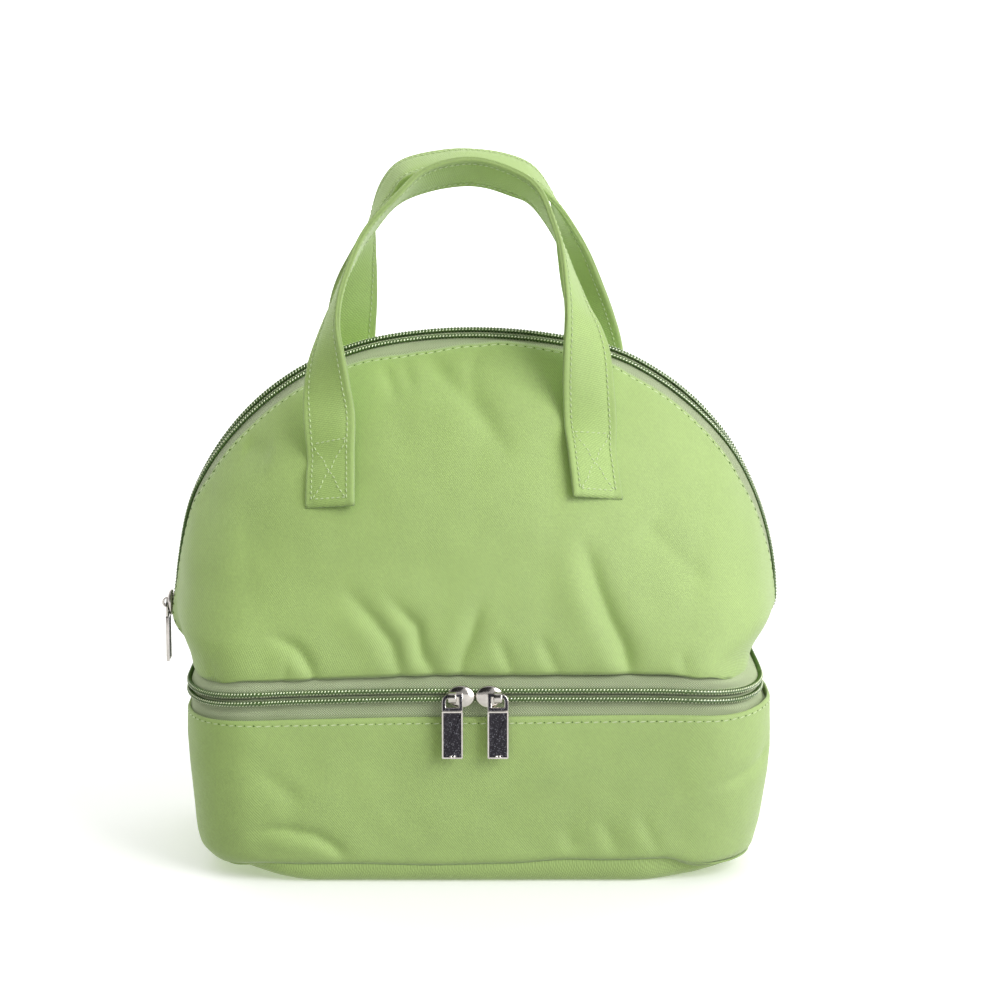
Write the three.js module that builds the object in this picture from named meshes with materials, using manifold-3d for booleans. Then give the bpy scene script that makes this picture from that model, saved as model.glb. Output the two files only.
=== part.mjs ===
// Insulated lunch bag: a shallow lower compartment with a zip round three sides,
// and a domed upper compartment whose front opens on a zip along the arch.
// Millimetres. +X right, +Y to the back, +Z up. The origin is on the ground under the middle of the base.
import * as THREE from "three";
import { mergeVertices } from "three/addons/utils/BufferGeometryUtils.js";
import Module from "manifold-3d";

const wasm = await Module();
wasm.setup();

// Plan of the band where the two compartments meet: a rectangle with round corners
const bandHalfWidth = 133;
const bandHalfDepth = 75.5;
const bandCornerRadius = 38;

// Layers of a wall, from the outside in, and the gap left between touching pieces
const fabricThickness = 1;
const foamThickness = 3;
const liningThickness = 0.5;
const seat = 0.3;

// Heights of the lower compartment, of the zip above it and of the seam of the upper compartment
const seamHeight = 9;
const lowerHemHeight = 77;
const lowerTapeHeight = 7.7;
const chainGap = 1.4;
const upperTapeHeight = 9.8;
const chainHeight = lowerHemHeight + seat + lowerTapeHeight + chainGap / 2;
const upperSeamHeight = chainHeight + chainGap / 2 + upperTapeHeight + seat;

// How far the wall of the lower compartment stands in from the band, from the bottom seam up
const footBendAboveSeam = 13;
const bellyBelowHem = 27;
const wallDraws = [
  { height: seamHeight, draw: 9.5 },
  { height: seamHeight + footBendAboveSeam, draw: 5 },
  { height: lowerHemHeight - bellyBelowHem, draw: 2 },
  { height: lowerHemHeight, draw: 0 },
];
const bottomRollDraw = 15;
const bottomRollHeight = 3.5;
const bottomFlatDraw = 24;

// Arch of the upper compartment, seen from the front, with its heights above the seam
const domeOverhang = 7;
const domeHalfWidth = bandHalfWidth + domeOverhang;
const domeRise = 142.5;
const domeTopHeight = upperSeamHeight + domeRise;
const widestRise = 18.5;
const widestHeight = upperSeamHeight + widestRise;
const crownRadius = 230;
const curlStartRise = 12.5;
const curlStartHeight = upperSeamHeight + curlStartRise;
const curlRadius = 14;
const curlEndRise = 2.5;
const curlEndHeight = upperSeamHeight + curlEndRise;
const domeSeamInset = 1;
const domeSideStart = 18;
const domeBulge = 20;
const edgeSpan = 0.15;

// Divider between the compartments
const dividerFoamThickness = 4;

// Zips: chain of two coils on two tapes
const coilWidth = 2.7;
const coilThickness = 2.2;
const tapeThickness = 0.8;
const tapeReach = 9;
const bandTapeRecess = 0.1;
const zipEndBehindMiddle = 34;

// Sliders and pulls
const sliderLength = 11.6;
const sliderWidth = 8.6;
const sliderPlate = 1.25;
const sliderRun = 0.35;
const webThickness = 0.8;
const innerPlateLength = 9;
const crownInnerRadius = 1.5;
const crownWall = 1.2;
const crownLength = 2.6;
const pullWidth = 8.4;
const pullLength = 27;
const pullThickness = 1.4;
const pullWindowWidth = 5;
const pullWindowLength = 7;
const sliderMeeting = 2.3;
const sliderMeetingGap = 0.6;
const crownFromSliderEnd = 3.2;
const archSliderRise = 18;
const archSliderHeight = upperSeamHeight + archSliderRise;

// Handles: a folded strap with its ends sewn flat on each panel
const strapWidth = 22;
const strapThickness = 2.5;
const strapHalfSpacing = 58.6;
const frontStrapShift = -4;
const strapEndRise = 69.5;
const strapEndLength = 30;
const strapEndBottom = upperSeamHeight + strapEndRise;
const strapEndTop = strapEndBottom + strapEndLength;
const frontHandleRise = 114;
const rearHandleRise = 120;
const frontApexDepth = 1.5;
const rearApexDepth = 16;
const frontApexLean = 38;
const rearApexLean = 22;
const strapTwistSpan = 40;

// Steps along the curves
const archSteps = 36;
const panelSteps = 5;
const cornerSteps = 6;
const strapSteps = 26;

const green = material(0xa0bb77, 0.85, 0);
const strapGreen = material(0xa8c383, 0.8, 0);
const tapeGreen = material(0x94a975, 0.9, 0);
const coilGreen = material(0x5f7f3c, 0.5, 0);
const foamWhite = material(0xe8e8e2, 0.95, 0);
const liningSilver = material(0xc9ccce, 0.35, 0.6);
const pullMetal = material(0x5a5859, 0.25, 1);

function material(color, roughness, metalness) {
  return new THREE.MeshStandardMaterial({ color, roughness, metalness });
}

// Closed geometry from corner points and triangles, turned so that its faces point out
function closedGeometry(points, triangles) {
  const cross = new THREE.Vector3();
  let volume = 0;
  for (const [a, b, c] of triangles) {
    volume += cross.crossVectors(points[b], points[c]).dot(points[a]);
  }
  const index = triangles.flatMap(([a, b, c]) => (volume > 0 ? [a, b, c] : [a, c, b]));
  const geometry = new THREE.BufferGeometry().setFromPoints(points);
  geometry.setIndex(index);
  geometry.computeVertexNormals();
  return geometry;
}

// Two triangles for each four-sided face
function quads(faces) {
  return faces.flatMap(([a, b, c, d]) => [[a, b, c], [a, c, d]]);
}

// Sweep of a ring of points. An open sweep gets flat ends, so its rings are convex.
function sweep(rings, isLoop) {
  const size = rings[0].length;
  const faces = [];
  const spans = isLoop ? rings.length : rings.length - 1;
  for (let i = 0; i < spans; i++) {
    const here = i * size;
    const there = ((i + 1) % rings.length) * size;
    for (let k = 0; k < size; k++) {
      const next = (k + 1) % size;
      faces.push([here + k, here + next, there + next, there + k]);
    }
  }
  const triangles = quads(faces);
  if (!isLoop) {
    const last = (rings.length - 1) * size;
    for (let k = 1; k < size - 1; k++) {
      triangles.push([0, k + 1, k], [last, last + k, last + k + 1]);
    }
  }
  return closedGeometry(rings.flat(), triangles);
}

// Slab between two grids of points that face each other
function slab(outer, inner) {
  const rows = outer.length;
  const columns = outer[0].length;
  const under = rows * columns;
  const at = (i, j) => i * columns + j;
  const faces = [];
  for (let i = 0; i < rows - 1; i++) {
    for (let j = 0; j < columns - 1; j++) {
      faces.push([at(i, j), at(i + 1, j), at(i + 1, j + 1), at(i, j + 1)]);
      const facing = [at(i, j), at(i, j + 1), at(i + 1, j + 1), at(i + 1, j)];
      faces.push(facing.map((corner) => corner + under));
    }
  }
  const rim = [];
  for (let j = 0; j < columns - 1; j++) rim.push(at(0, j));
  for (let i = 0; i < rows - 1; i++) rim.push(at(i, columns - 1));
  for (let j = columns - 1; j > 0; j--) rim.push(at(rows - 1, j));
  for (let i = rows - 1; i > 0; i--) rim.push(at(i, 0));
  rim.forEach((a, k) => {
    const b = rim[(k + 1) % rim.length];
    faces.push([a, b, b + under, a + under]);
  });
  return closedGeometry([...outer.flat(), ...inner.flat()], quads(faces));
}

// Tub or plate: a profile of [draw, height] carried round a loop, with its first and last rings filled
function tub(loop, profile) {
  const size = loop.length;
  const points = profile.flatMap(([draw, height]) => loop.map((p) => drawnIn(p, draw, height)));
  const faces = [];
  for (let i = 0; i < profile.length - 1; i++) {
    for (let k = 0; k < size; k++) {
      const next = (k + 1) % size;
      faces.push([i * size + k, i * size + next, (i + 1) * size + next, (i + 1) * size + k]);
    }
  }
  const triangles = quads(faces);
  const last = (profile.length - 1) * size;
  const firstMiddle = points.push(new THREE.Vector3(0, 0, profile[0][1])) - 1;
  const lastMiddle = points.push(new THREE.Vector3(0, 0, profile.at(-1)[1])) - 1;
  for (let k = 0; k < size; k++) {
    const next = (k + 1) % size;
    triangles.push([firstMiddle, next, k], [lastMiddle, last + k, last + next]);
  }
  return closedGeometry(points, triangles);
}

// Point of the band's plan moved in by a draw, at a height
function drawnIn(station, draw, height) {
  return new THREE.Vector3(station.x - station.nx * draw, station.y - station.ny * draw, height);
}

// Station on the band's plan, a fraction of the way from the left side round the front to the right.
// The path starts and ends at the depth startDepth on the two sides.
function bandStation(fraction, startDepth) {
  const straightDepth = bandHalfDepth - bandCornerRadius;
  const straightWidth = bandHalfWidth - bandCornerRadius;
  const side = startDepth + straightDepth;
  const corner = (Math.PI / 2) * bandCornerRadius;
  const half = side + corner + straightWidth;
  const mirrored = fraction > 0.5;
  const distance = 2 * half * (mirrored ? 1 - fraction : fraction);
  const sign = mirrored ? -1 : 1;
  if (distance < side) {
    return { x: -sign * bandHalfWidth, y: startDepth - distance, nx: -sign, ny: 0 };
  }
  if (distance < side + corner) {
    const angle = (distance - side) / bandCornerRadius;
    const nx = -sign * Math.cos(angle);
    const ny = -Math.sin(angle);
    return {
      x: -sign * straightWidth + bandCornerRadius * nx,
      y: -straightDepth + bandCornerRadius * ny,
      nx,
      ny,
    };
  }
  return { x: -sign * (half - distance), y: -bandHalfDepth, nx: 0, ny: -1 };
}

// Stations from one side round the front to the other, close together at the corners
function bandPath(startDepth) {
  const side = startDepth + bandHalfDepth - bandCornerRadius;
  const corner = (Math.PI / 2) * bandCornerRadius;
  const half = side + corner + bandHalfWidth - bandCornerRadius;
  const distances = [0, side / 2];
  for (let k = 0; k <= cornerSteps; k++) distances.push(side + (corner * k) / cornerSteps);
  const left = distances.map((d) => d / (2 * half));
  const right = left.map((f) => 1 - f).reverse();
  return [...left, 0.5, ...right].map((f) => bandStation(f, startDepth));
}

// The whole plan as a closed loop
function bandLoop() {
  const front = bandPath(0);
  const back = front.slice(1, -1).reverse();
  return [...front, ...back.map((p) => ({ x: p.x, y: -p.y, nx: p.nx, ny: -p.ny }))];
}

// Strip along a path of stations, with a profile of [draw, height] corners
function bandStrip(path, profile, isLoop = false) {
  return sweep(path.map((p) => profile.map(([draw, height]) => drawnIn(p, draw, height))), isLoop);
}

function rectangle(lowA, highA, lowB, highB) {
  return [[lowA, lowB], [highA, lowB], [highA, highB], [lowA, highB]];
}

// Arcs of the arch: the crown, the side that meets it, and the curl at the foot
const crownRise = domeTopHeight - widestHeight;
const sideRadius =
  (crownRadius ** 2 - domeHalfWidth ** 2 - (crownRadius - crownRise) ** 2) /
  (2 * (crownRadius - domeHalfWidth));
const sideCentre = { x: -(domeHalfWidth - sideRadius), z: widestHeight };
const sideTopAngle = Math.PI / 2 - Math.atan2(-sideCentre.x, crownRadius - crownRise);
const sideFootAngle = Math.asin((curlStartHeight - widestHeight) / sideRadius);
const curlCentre = {
  x: sideCentre.x - (sideRadius - curlRadius) * Math.cos(sideFootAngle),
  z: sideCentre.z + (sideRadius - curlRadius) * Math.sin(sideFootAngle),
};
const curlEndAngle = Math.asin((curlEndHeight - curlCentre.z) / curlRadius);

// Point of the left half of the arch at a distance from its foot, moved in by an inset
function archHalf(distance, inset) {
  const curlLength = curlRadius * (sideFootAngle - curlEndAngle);
  const sideLength = sideRadius * (sideTopAngle - sideFootAngle);
  const onArc = (centre, radius, angle) => ({
    x: centre.x - (radius - inset) * Math.cos(angle),
    z: centre.z + (radius - inset) * Math.sin(angle),
    nx: -Math.cos(angle),
    nz: Math.sin(angle),
  });
  if (distance < curlLength) {
    return onArc(curlCentre, curlRadius, curlEndAngle + distance / curlRadius);
  }
  if (distance < curlLength + sideLength) {
    return onArc(sideCentre, sideRadius, sideFootAngle + (distance - curlLength) / sideRadius);
  }
  const crownCentre = { x: 0, z: domeTopHeight - crownRadius };
  return onArc(crownCentre, crownRadius, sideTopAngle + (distance - curlLength - sideLength) / crownRadius);
}

// Point of the arch, a fraction of the way from its left foot over the top to its right foot
function archPoint(fraction, inset) {
  const half =
    curlRadius * (sideFootAngle - curlEndAngle) +
    sideRadius * (sideTopAngle - sideFootAngle) +
    crownRadius * (Math.PI / 2 - sideTopAngle);
  const mirrored = fraction > 0.5;
  const p = archHalf(2 * half * (mirrored ? 1 - fraction : fraction), inset);
  return mirrored ? { ...p, x: -p.x, nx: -p.nx } : p;
}

const tapeInset = coilThickness + seat;

// Outer surface of the front panel: lines from the band up to the edge of the arch's tape, bulged out.
// The first fraction runs from left to right, the second from the band up.
function panelSurface(along, up) {
  const foot = bandStation(along, -domeSideStart);
  const low = drawnIn(foot, domeSeamInset, upperSeamHeight);
  const edge = archPoint(along, tapeInset);
  const high = new THREE.Vector3(edge.x, -(tapeReach + seat), edge.z);
  const bulge = domeBulge * Math.sin(Math.PI * along) * 4 * up * (1 - up);
  const outward = new THREE.Vector3(foot.nx, foot.ny, 0.4).normalize();
  return low.lerp(high, up).addScaledVector(outward, bulge);
}

// Point of a panel at a depth below its outer surface. side is -1 for the front and 1 for the rear.
// The layers are cut level along the band and square to the arch, within an edge span of each.
function panelPoint(side, along, up, depth) {
  const step = 0.002;
  const left = panelSurface(Math.max(along - step, 0), up);
  const right = panelSurface(Math.min(along + step, 1), up);
  const below = panelSurface(along, Math.max(up - step, 0));
  const above = panelSurface(along, Math.min(up + step, 1));
  const normal = new THREE.Vector3().crossVectors(right.sub(left), above.sub(below)).normalize();
  const foot = bandStation(along, -domeSideStart);
  const head = archPoint(along, 0);
  const footNormal = new THREE.Vector3(foot.nx, foot.ny, 0);
  const headNormal = new THREE.Vector3(head.nx, 0, head.nz);
  normal.lerp(footNormal, Math.max(0, 1 - up / edgeSpan)).normalize();
  normal.lerp(headNormal, Math.max(0, 1 - (1 - up) / edgeSpan)).normalize();
  const p = panelSurface(along, up).addScaledVector(normal, -depth);
  return side < 0 ? p : new THREE.Vector3(p.x, -p.y, p.z);
}

// One layer of a panel, between two depths
function panelLayer(side, outerDepth, innerDepth) {
  const grid = (depth) =>
    Array.from({ length: archSteps + 1 }, (_, i) =>
      Array.from({ length: panelSteps + 1 }, (_, j) =>
        panelPoint(side, i / archSteps, j / panelSteps, depth)));
  return slab(grid(outerDepth), grid(innerDepth));
}

// Strip along the arch, with a profile of [depth from the middle, inset] corners
function archStrip(side, profile) {
  const rings = Array.from({ length: archSteps + 1 }, (_, i) =>
    profile.map(([depth, inset]) => {
      const p = archPoint(i / archSteps, inset);
      return new THREE.Vector3(p.x, side * depth, p.z);
    }));
  return sweep(rings, false);
}

// Place on the front panel's surface, as its two fractions, that shows at x and z
function placeOnPanel(x, z) {
  const step = 0.001;
  let along = 0.5;
  let up = 0.5;
  for (let round = 0; round < 12; round++) {
    const here = panelSurface(along, up);
    const alongStep = panelSurface(along + step, up).sub(here).divideScalar(step);
    const upStep = panelSurface(along, up + step).sub(here).divideScalar(step);
    const missX = x - here.x;
    const missZ = z - here.z;
    const area = alongStep.x * upStep.z - upStep.x * alongStep.z;
    along += (missX * upStep.z - upStep.x * missZ) / area;
    up += (alongStep.x * missZ - missX * alongStep.z) / area;
  }
  return { along, up };
}

// Point standing off a panel, above the place that shows at x and z
function overPanel(side, x, z, height) {
  const { along, up } = placeOnPanel(x, z);
  return panelPoint(side, along, up, -height);
}

// Sewn end of a strap, following the panel
function strapEnd(side, middleX) {
  const rows = 6;
  const columns = 3;
  const grid = (height) =>
    Array.from({ length: rows + 1 }, (_, i) =>
      Array.from({ length: columns + 1 }, (_, j) =>
        overPanel(
          side,
          middleX + strapWidth * (j / columns - 0.5),
          strapEndBottom + ((strapEndTop - strapEndBottom) * i) / rows,
          height,
        )));
  return slab(grid(seat + strapThickness), grid(seat));
}

// Ring of a strap where it leaves its sewn end, in the order near outer, far outer, far inner, near inner
function strapRoot(side, middleX, nearSign) {
  const near = middleX - (nearSign * strapWidth) / 2;
  const far = middleX + (nearSign * strapWidth) / 2;
  const top = strapEndTop + seat;
  return [
    overPanel(side, near, top, seat + strapThickness),
    overPanel(side, far, top, seat + strapThickness),
    overPanel(side, far, top, seat),
    overPanel(side, near, top, seat),
  ];
}

// Handle strap from its right end over the top to its left end.
// It lies flat on the panel at its ends and turns to face out round the loop.
function handle(side, shift, rise, apexDepth, apexWidthDirection) {
  const root = overPanel(side, strapHalfSpacing, strapEndTop, seat + strapThickness / 2);
  const middle = (angle) => {
    const share = Math.sin(angle) ** 0.625;
    const depth = THREE.MathUtils.lerp(Math.abs(root.y), apexDepth, share ** 1.2);
    return new THREE.Vector3(
      shift + strapHalfSpacing * Math.cos(angle),
      side * depth,
      strapEndTop + rise * share,
    );
  };
  const rings = [strapRoot(side, shift + strapHalfSpacing, 1)];
  for (let i = 1; i < strapSteps; i++) {
    const angle = (Math.PI * i) / strapSteps;
    const small = 0.001;
    const tangent = middle(angle + small).sub(middle(angle - small)).normalize();
    const fromEnd = Math.min(angle, Math.PI - angle);
    const twist = THREE.MathUtils.smoothstep(fromEnd, 0, THREE.MathUtils.degToRad(strapTwistSpan));
    const turn = (Math.PI / 2) * twist;
    const across = new THREE.Vector3(Math.cos(angle) > 0 ? 1 : -1, 0, 0)
      .multiplyScalar(Math.cos(turn))
      .addScaledVector(apexWidthDirection, Math.sin(turn));
    across.addScaledVector(tangent, -across.dot(tangent)).normalize();
    const outward = new THREE.Vector3().crossVectors(tangent, across).multiplyScalar(side);
    const corner = (w, o) =>
      middle(angle)
        .addScaledVector(across, (w * strapWidth) / 2)
        .addScaledVector(outward, (o * strapThickness) / 2);
    rings.push([corner(-1, 1), corner(1, 1), corner(1, -1), corner(-1, -1)]);
  }
  rings.push(strapRoot(side, shift - strapHalfSpacing, -1));
  return sweep(rings, false);
}

// Solid that manifold-3d can join and cut, from a closed geometry
function solid(geometry) {
  geometry.deleteAttribute("normal");
  geometry.deleteAttribute("uv");
  const merged = mergeVertices(geometry, 1e-4);
  return new wasm.Manifold(new wasm.Mesh({
    numProp: 3,
    vertProperties: merged.attributes.position.array,
    triVerts: new Uint32Array(merged.index.array),
  }));
}

function geometryOf(manifold) {
  const mesh = manifold.getMesh();
  const geometry = new THREE.BufferGeometry();
  geometry.setAttribute("position", new THREE.BufferAttribute(mesh.vertProperties, 3));
  geometry.setIndex(new THREE.BufferAttribute(mesh.triVerts, 1));
  geometry.computeVertexNormals();
  return geometry;
}

function box(lowX, highX, lowY, highY, lowZ, highZ) {
  const geometry = new THREE.BoxGeometry(highX - lowX, highY - lowY, highZ - lowZ);
  return geometry.translate((lowX + highX) / 2, (lowY + highY) / 2, (lowZ + highZ) / 2);
}

// Heights above the outer face of the tape, in a slider's own frame
const outerPlateLow = coilThickness + seat + sliderRun;
const outerPlateHigh = outerPlateLow + sliderPlate;
const innerPlateHigh = -(tapeThickness + sliderRun);
const innerPlateLow = innerPlateHigh - sliderPlate;
const barHeight = outerPlateHigh + crownInnerRadius - 0.2;

// Slider in its own frame: X along the zip, Y across it, Z out from the tape's outer face.
// crownX is where the crown stands, and crownTurn turns its tunnel from along the zip.
function slider(crownX, crownTurn, innerPlateFromY) {
  const outline = new THREE.Shape();
  outline.absellipse(0, 0, sliderLength / 2, sliderWidth / 2, 0, 2 * Math.PI);
  const outer = new THREE.ExtrudeGeometry(outline, {
    depth: sliderPlate, bevelEnabled: false, curveSegments: 10,
  });
  outer.translate(0, 0, outerPlateLow);
  const half = innerPlateLength / 2;
  const web = box(-half, half, -webThickness / 2, webThickness / 2, innerPlateLow, outerPlateHigh);
  const inner = box(-half, half, innerPlateFromY, sliderWidth / 2, innerPlateLow, innerPlateHigh);
  const arch = new THREE.Shape();
  const crownOuterRadius = crownInnerRadius + crownWall;
  const foot = outerPlateHigh - 0.5 - barHeight;
  arch.moveTo(-crownOuterRadius, foot);
  arch.absarc(0, 0, crownOuterRadius, Math.PI, 0, true);
  arch.lineTo(crownOuterRadius, foot);
  arch.lineTo(crownInnerRadius, foot);
  arch.absarc(0, 0, crownInnerRadius, 0, Math.PI, false);
  arch.lineTo(-crownInnerRadius, foot);
  const crown = new THREE.ExtrudeGeometry(arch, {
    depth: crownLength, bevelEnabled: false, curveSegments: 8,
  });
  crown.translate(0, 0, -crownLength / 2);
  crown.rotateX(Math.PI / 2);
  crown.rotateZ(Math.PI / 2 + crownTurn);
  crown.translate(crownX, 0, barHeight);
  return geometryOf(solid(outer).add(solid(web)).add(solid(inner)).add(solid(crown)));
}

// Pull in its own frame: the bar lies along X at the origin, and the tab hangs down -Y
function pull() {
  const barHalf = pullThickness / 2;
  const half = pullWidth / 2;
  const outline = new THREE.Shape();
  outline.moveTo(-half, -pullLength + barHalf);
  outline.lineTo(half, -pullLength + barHalf);
  outline.lineTo(half, -barHalf);
  outline.lineTo(half - 2 * barHalf, barHalf);
  outline.lineTo(-half + 2 * barHalf, barHalf);
  outline.lineTo(-half, -barHalf);
  const windowHalf = pullWindowWidth / 2;
  const eye = new THREE.Path();
  eye.moveTo(-windowHalf, -barHalf);
  eye.lineTo(-windowHalf, -barHalf - pullWindowLength);
  eye.lineTo(windowHalf, -barHalf - pullWindowLength);
  eye.lineTo(windowHalf, -barHalf);
  outline.holes.push(eye);
  const geometry = new THREE.ExtrudeGeometry(outline, {
    depth: pullThickness, bevelEnabled: false,
  });
  return geometry.translate(0, 0, -barHalf);
}

function addPiece(group, name, geometry, look) {
  const mesh = new THREE.Mesh(geometry, look);
  mesh.name = name;
  group.add(mesh);
  return mesh;
}

// Draw of the lower compartment's wall at each of its heights, further in by a depth
function wallProfile(outerDepth, innerDepth, lowest, highest) {
  const levels = wallDraws.map(({ height, draw }) => [draw, THREE.MathUtils.clamp(height, lowest, highest)]);
  const outer = levels.map(([draw, height]) => [draw + outerDepth, height]);
  const inner = levels.map(([draw, height]) => [draw + innerDepth, height]).reverse();
  return [...outer, ...inner];
}

// Lower compartment

const bag = new THREE.Group();
const base = new THREE.Group();
bag.add(base);
const loop = bandLoop();

addPiece(base, "base_wall", bandStrip(loop, wallProfile(0, fabricThickness, 0, lowerHemHeight), true), green);

const seamDraw = wallDraws[0].draw;
addPiece(base, "base_bottom_panel", tub(loop, [
  [bottomFlatDraw, 0],
  [bottomRollDraw, bottomRollHeight],
  [seamDraw, seamHeight - seat],
  [seamDraw + fabricThickness, seamHeight - seat],
  [bottomRollDraw + fabricThickness / 2, bottomRollHeight + fabricThickness],
  [bottomFlatDraw + fabricThickness / 4, fabricThickness],
]), green);

const floorFoamLow = fabricThickness + seat;
const floorFoamHigh = floorFoamLow + foamThickness;
addPiece(base, "base_floor_foam", tub(loop, [
  [bottomFlatDraw + 1, floorFoamLow],
  [bottomFlatDraw + 1, floorFoamHigh],
]), foamWhite);

const foamDepth = fabricThickness + seat;
const liningDepth = foamDepth + foamThickness + seat;
const liningEnd = liningDepth + liningThickness;
const liningTop = lowerHemHeight - 1;
addPiece(base, "base_wall_foam", bandStrip(
  loop, wallProfile(foamDepth, foamDepth + foamThickness, seamHeight + seat, liningTop), true,
), foamWhite);

const liningFloor = floorFoamHigh + seat;
const liningWall = wallProfile(liningDepth, liningEnd, seamHeight + foamThickness, liningTop);
addPiece(base, "base_lining", tub(loop, [
  [bottomFlatDraw + 1, liningFloor],
  ...liningWall,
  [bottomFlatDraw + 1, liningFloor + liningThickness],
]), liningSilver);

// Zip of the lower compartment: the lower tape and coil stay on the base

const tapeOuter = bandTapeRecess;
const tapeInner = bandTapeRecess + tapeThickness;
const coilInner = tapeOuter - seat;
const coilOuter = coilInner - coilThickness;
const zipPath = bandPath(zipEndBehindMiddle);
const lowerEdge = chainHeight - chainGap / 2;
const upperEdge = chainHeight + chainGap / 2;

addPiece(base, "lower_zip_lower_tape", bandStrip(
  zipPath, rectangle(tapeInner, tapeOuter, lowerHemHeight + seat, lowerEdge),
), tapeGreen);
addPiece(base, "lower_zip_lower_coil", bandStrip(
  zipPath, rectangle(coilInner, coilOuter, lowerEdge - coilWidth, lowerEdge),
), coilGreen);

// Strip across the back that the upper compartment tips on
const hingePath = bandPath(-(zipEndBehindMiddle + seat)).map((p) => (
  { x: -p.x, y: -p.y, nx: -p.nx, ny: -p.ny }
));
addPiece(base, "rear_hinge_strip", bandStrip(hingePath, rectangle(
  fabricThickness, 0, lowerHemHeight + seat, upperSeamHeight - seat,
)), green);

// Sliders of the lower zip stand head to head at the middle of the front
const tapeFaceY = -(bandHalfDepth - bandTapeRecess);
for (const [name, side] of [["left", -1], ["right", 1]]) {
  const middle = sliderMeeting + (side * (sliderLength + sliderMeetingGap)) / 2;
  const crownOffset = side * (sliderLength / 2 - crownFromSliderEnd);
  const place = new THREE.Matrix4().makeBasis(
    new THREE.Vector3(1, 0, 0), new THREE.Vector3(0, 0, 1), new THREE.Vector3(0, -1, 0),
  ).setPosition(middle, tapeFaceY, chainHeight);
  const body = addPiece(base, `lower_${name}_slider`, slider(crownOffset, 0, -sliderWidth / 2), pullMetal);
  body.applyMatrix4(place);
  const tab = addPiece(base, `lower_${name}_pull`, pull(), pullMetal);
  tab.applyMatrix4(place);
  tab.position.set(middle + crownOffset, tapeFaceY - barHeight, chainHeight);
}

// Upper compartment: everything that tips back together

const upper = new THREE.Group();
bag.add(upper);

const dividerLiningHigh = upperSeamHeight - seat;
const dividerLiningLow = dividerLiningHigh - liningThickness;
const dividerFoamHigh = dividerLiningLow - seat;
const dividerFoamLow = dividerFoamHigh - dividerFoamThickness;
const dividerUnderHigh = dividerFoamLow - seat;
const dividerUnderLow = dividerUnderHigh - liningThickness;
const dividerDraw = tapeInner + fabricThickness;
for (const [name, low, high, look] of [
  ["divider_floor_lining", dividerLiningLow, dividerLiningHigh, liningSilver],
  ["divider_foam", dividerFoamLow, dividerFoamHigh, foamWhite],
  ["divider_underside_lining", dividerUnderLow, dividerUnderHigh, liningSilver],
]) {
  addPiece(upper, name, tub(loop, [[dividerDraw, low], [dividerDraw, high]]), look);
}

addPiece(upper, "lower_zip_upper_tape", bandStrip(
  zipPath, rectangle(tapeInner, tapeOuter, upperEdge, upperSeamHeight - seat),
), tapeGreen);
addPiece(upper, "lower_zip_upper_coil", bandStrip(
  zipPath, rectangle(coilInner, coilOuter, upperEdge, upperEdge + coilWidth),
), coilGreen);

// Tabs that close the sides under the feet of the arch
for (const [name, sign] of [["left", -1], ["right", 1]]) {
  const foot = domeSideStart - 3 * seat;
  const low = upperSeamHeight;
  const high = curlEndHeight - seat;
  const panelRun = (domeSideStart - tapeReach - seat) / (archPoint(0, tapeInset).z - low);
  const head = foot - (high - low) * panelRun;
  const outerX = bandHalfWidth - domeSeamInset;
  const ring = (x) => [[-foot, low], [foot, low], [head, high], [-head, high]].map(
    ([y, z]) => new THREE.Vector3(sign * x, y, z),
  );
  addPiece(upper, `${name}_zip_end_tab`, sweep([ring(outerX), ring(outerX - fabricThickness)], false), green);
}

// The rear panel belongs to the upper compartment, and the front panel folds forward from it
const frontPanel = new THREE.Group();
upper.add(frontPanel);
const chainHalfGap = chainGap / 2;
for (const [name, side, group] of [["rear", 1, upper], ["front", -1, frontPanel]]) {
  addPiece(group, `${name}_panel`, panelLayer(side, 0, fabricThickness), green);
  addPiece(group, `${name}_panel_foam`, panelLayer(side, foamDepth, foamDepth + foamThickness), foamWhite);
  addPiece(group, `${name}_panel_lining`, panelLayer(side, liningDepth, liningEnd), liningSilver);
  addPiece(group, `arch_zip_${name}_tape`, archStrip(
    side, rectangle(chainHalfGap, tapeReach, tapeInset, tapeInset + tapeThickness),
  ), tapeGreen);
  addPiece(group, `arch_zip_${name}_coil`, archStrip(
    side, rectangle(chainHalfGap, chainHalfGap + coilWidth, 0, coilThickness),
  ), coilGreen);
}

// Handles and their sewn ends
for (const [name, side, group, shift, rise, apexDepth, lean] of [
  ["front", -1, frontPanel, frontStrapShift, frontHandleRise, frontApexDepth, frontApexLean],
  ["rear", 1, upper, 0, rearHandleRise, rearApexDepth, rearApexLean],
]) {
  const leanAngle = THREE.MathUtils.degToRad(lean);
  const apexWidthDirection = new THREE.Vector3(0, -side * Math.cos(leanAngle), -Math.sin(leanAngle));
  addPiece(group, `${name}_handle_left_end`, strapEnd(side, shift - strapHalfSpacing), strapGreen);
  addPiece(group, `${name}_handle_right_end`, strapEnd(side, shift + strapHalfSpacing), strapGreen);
  addPiece(group, `${name}_handle`, handle(side, shift, rise, apexDepth, apexWidthDirection), strapGreen);
}

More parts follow.
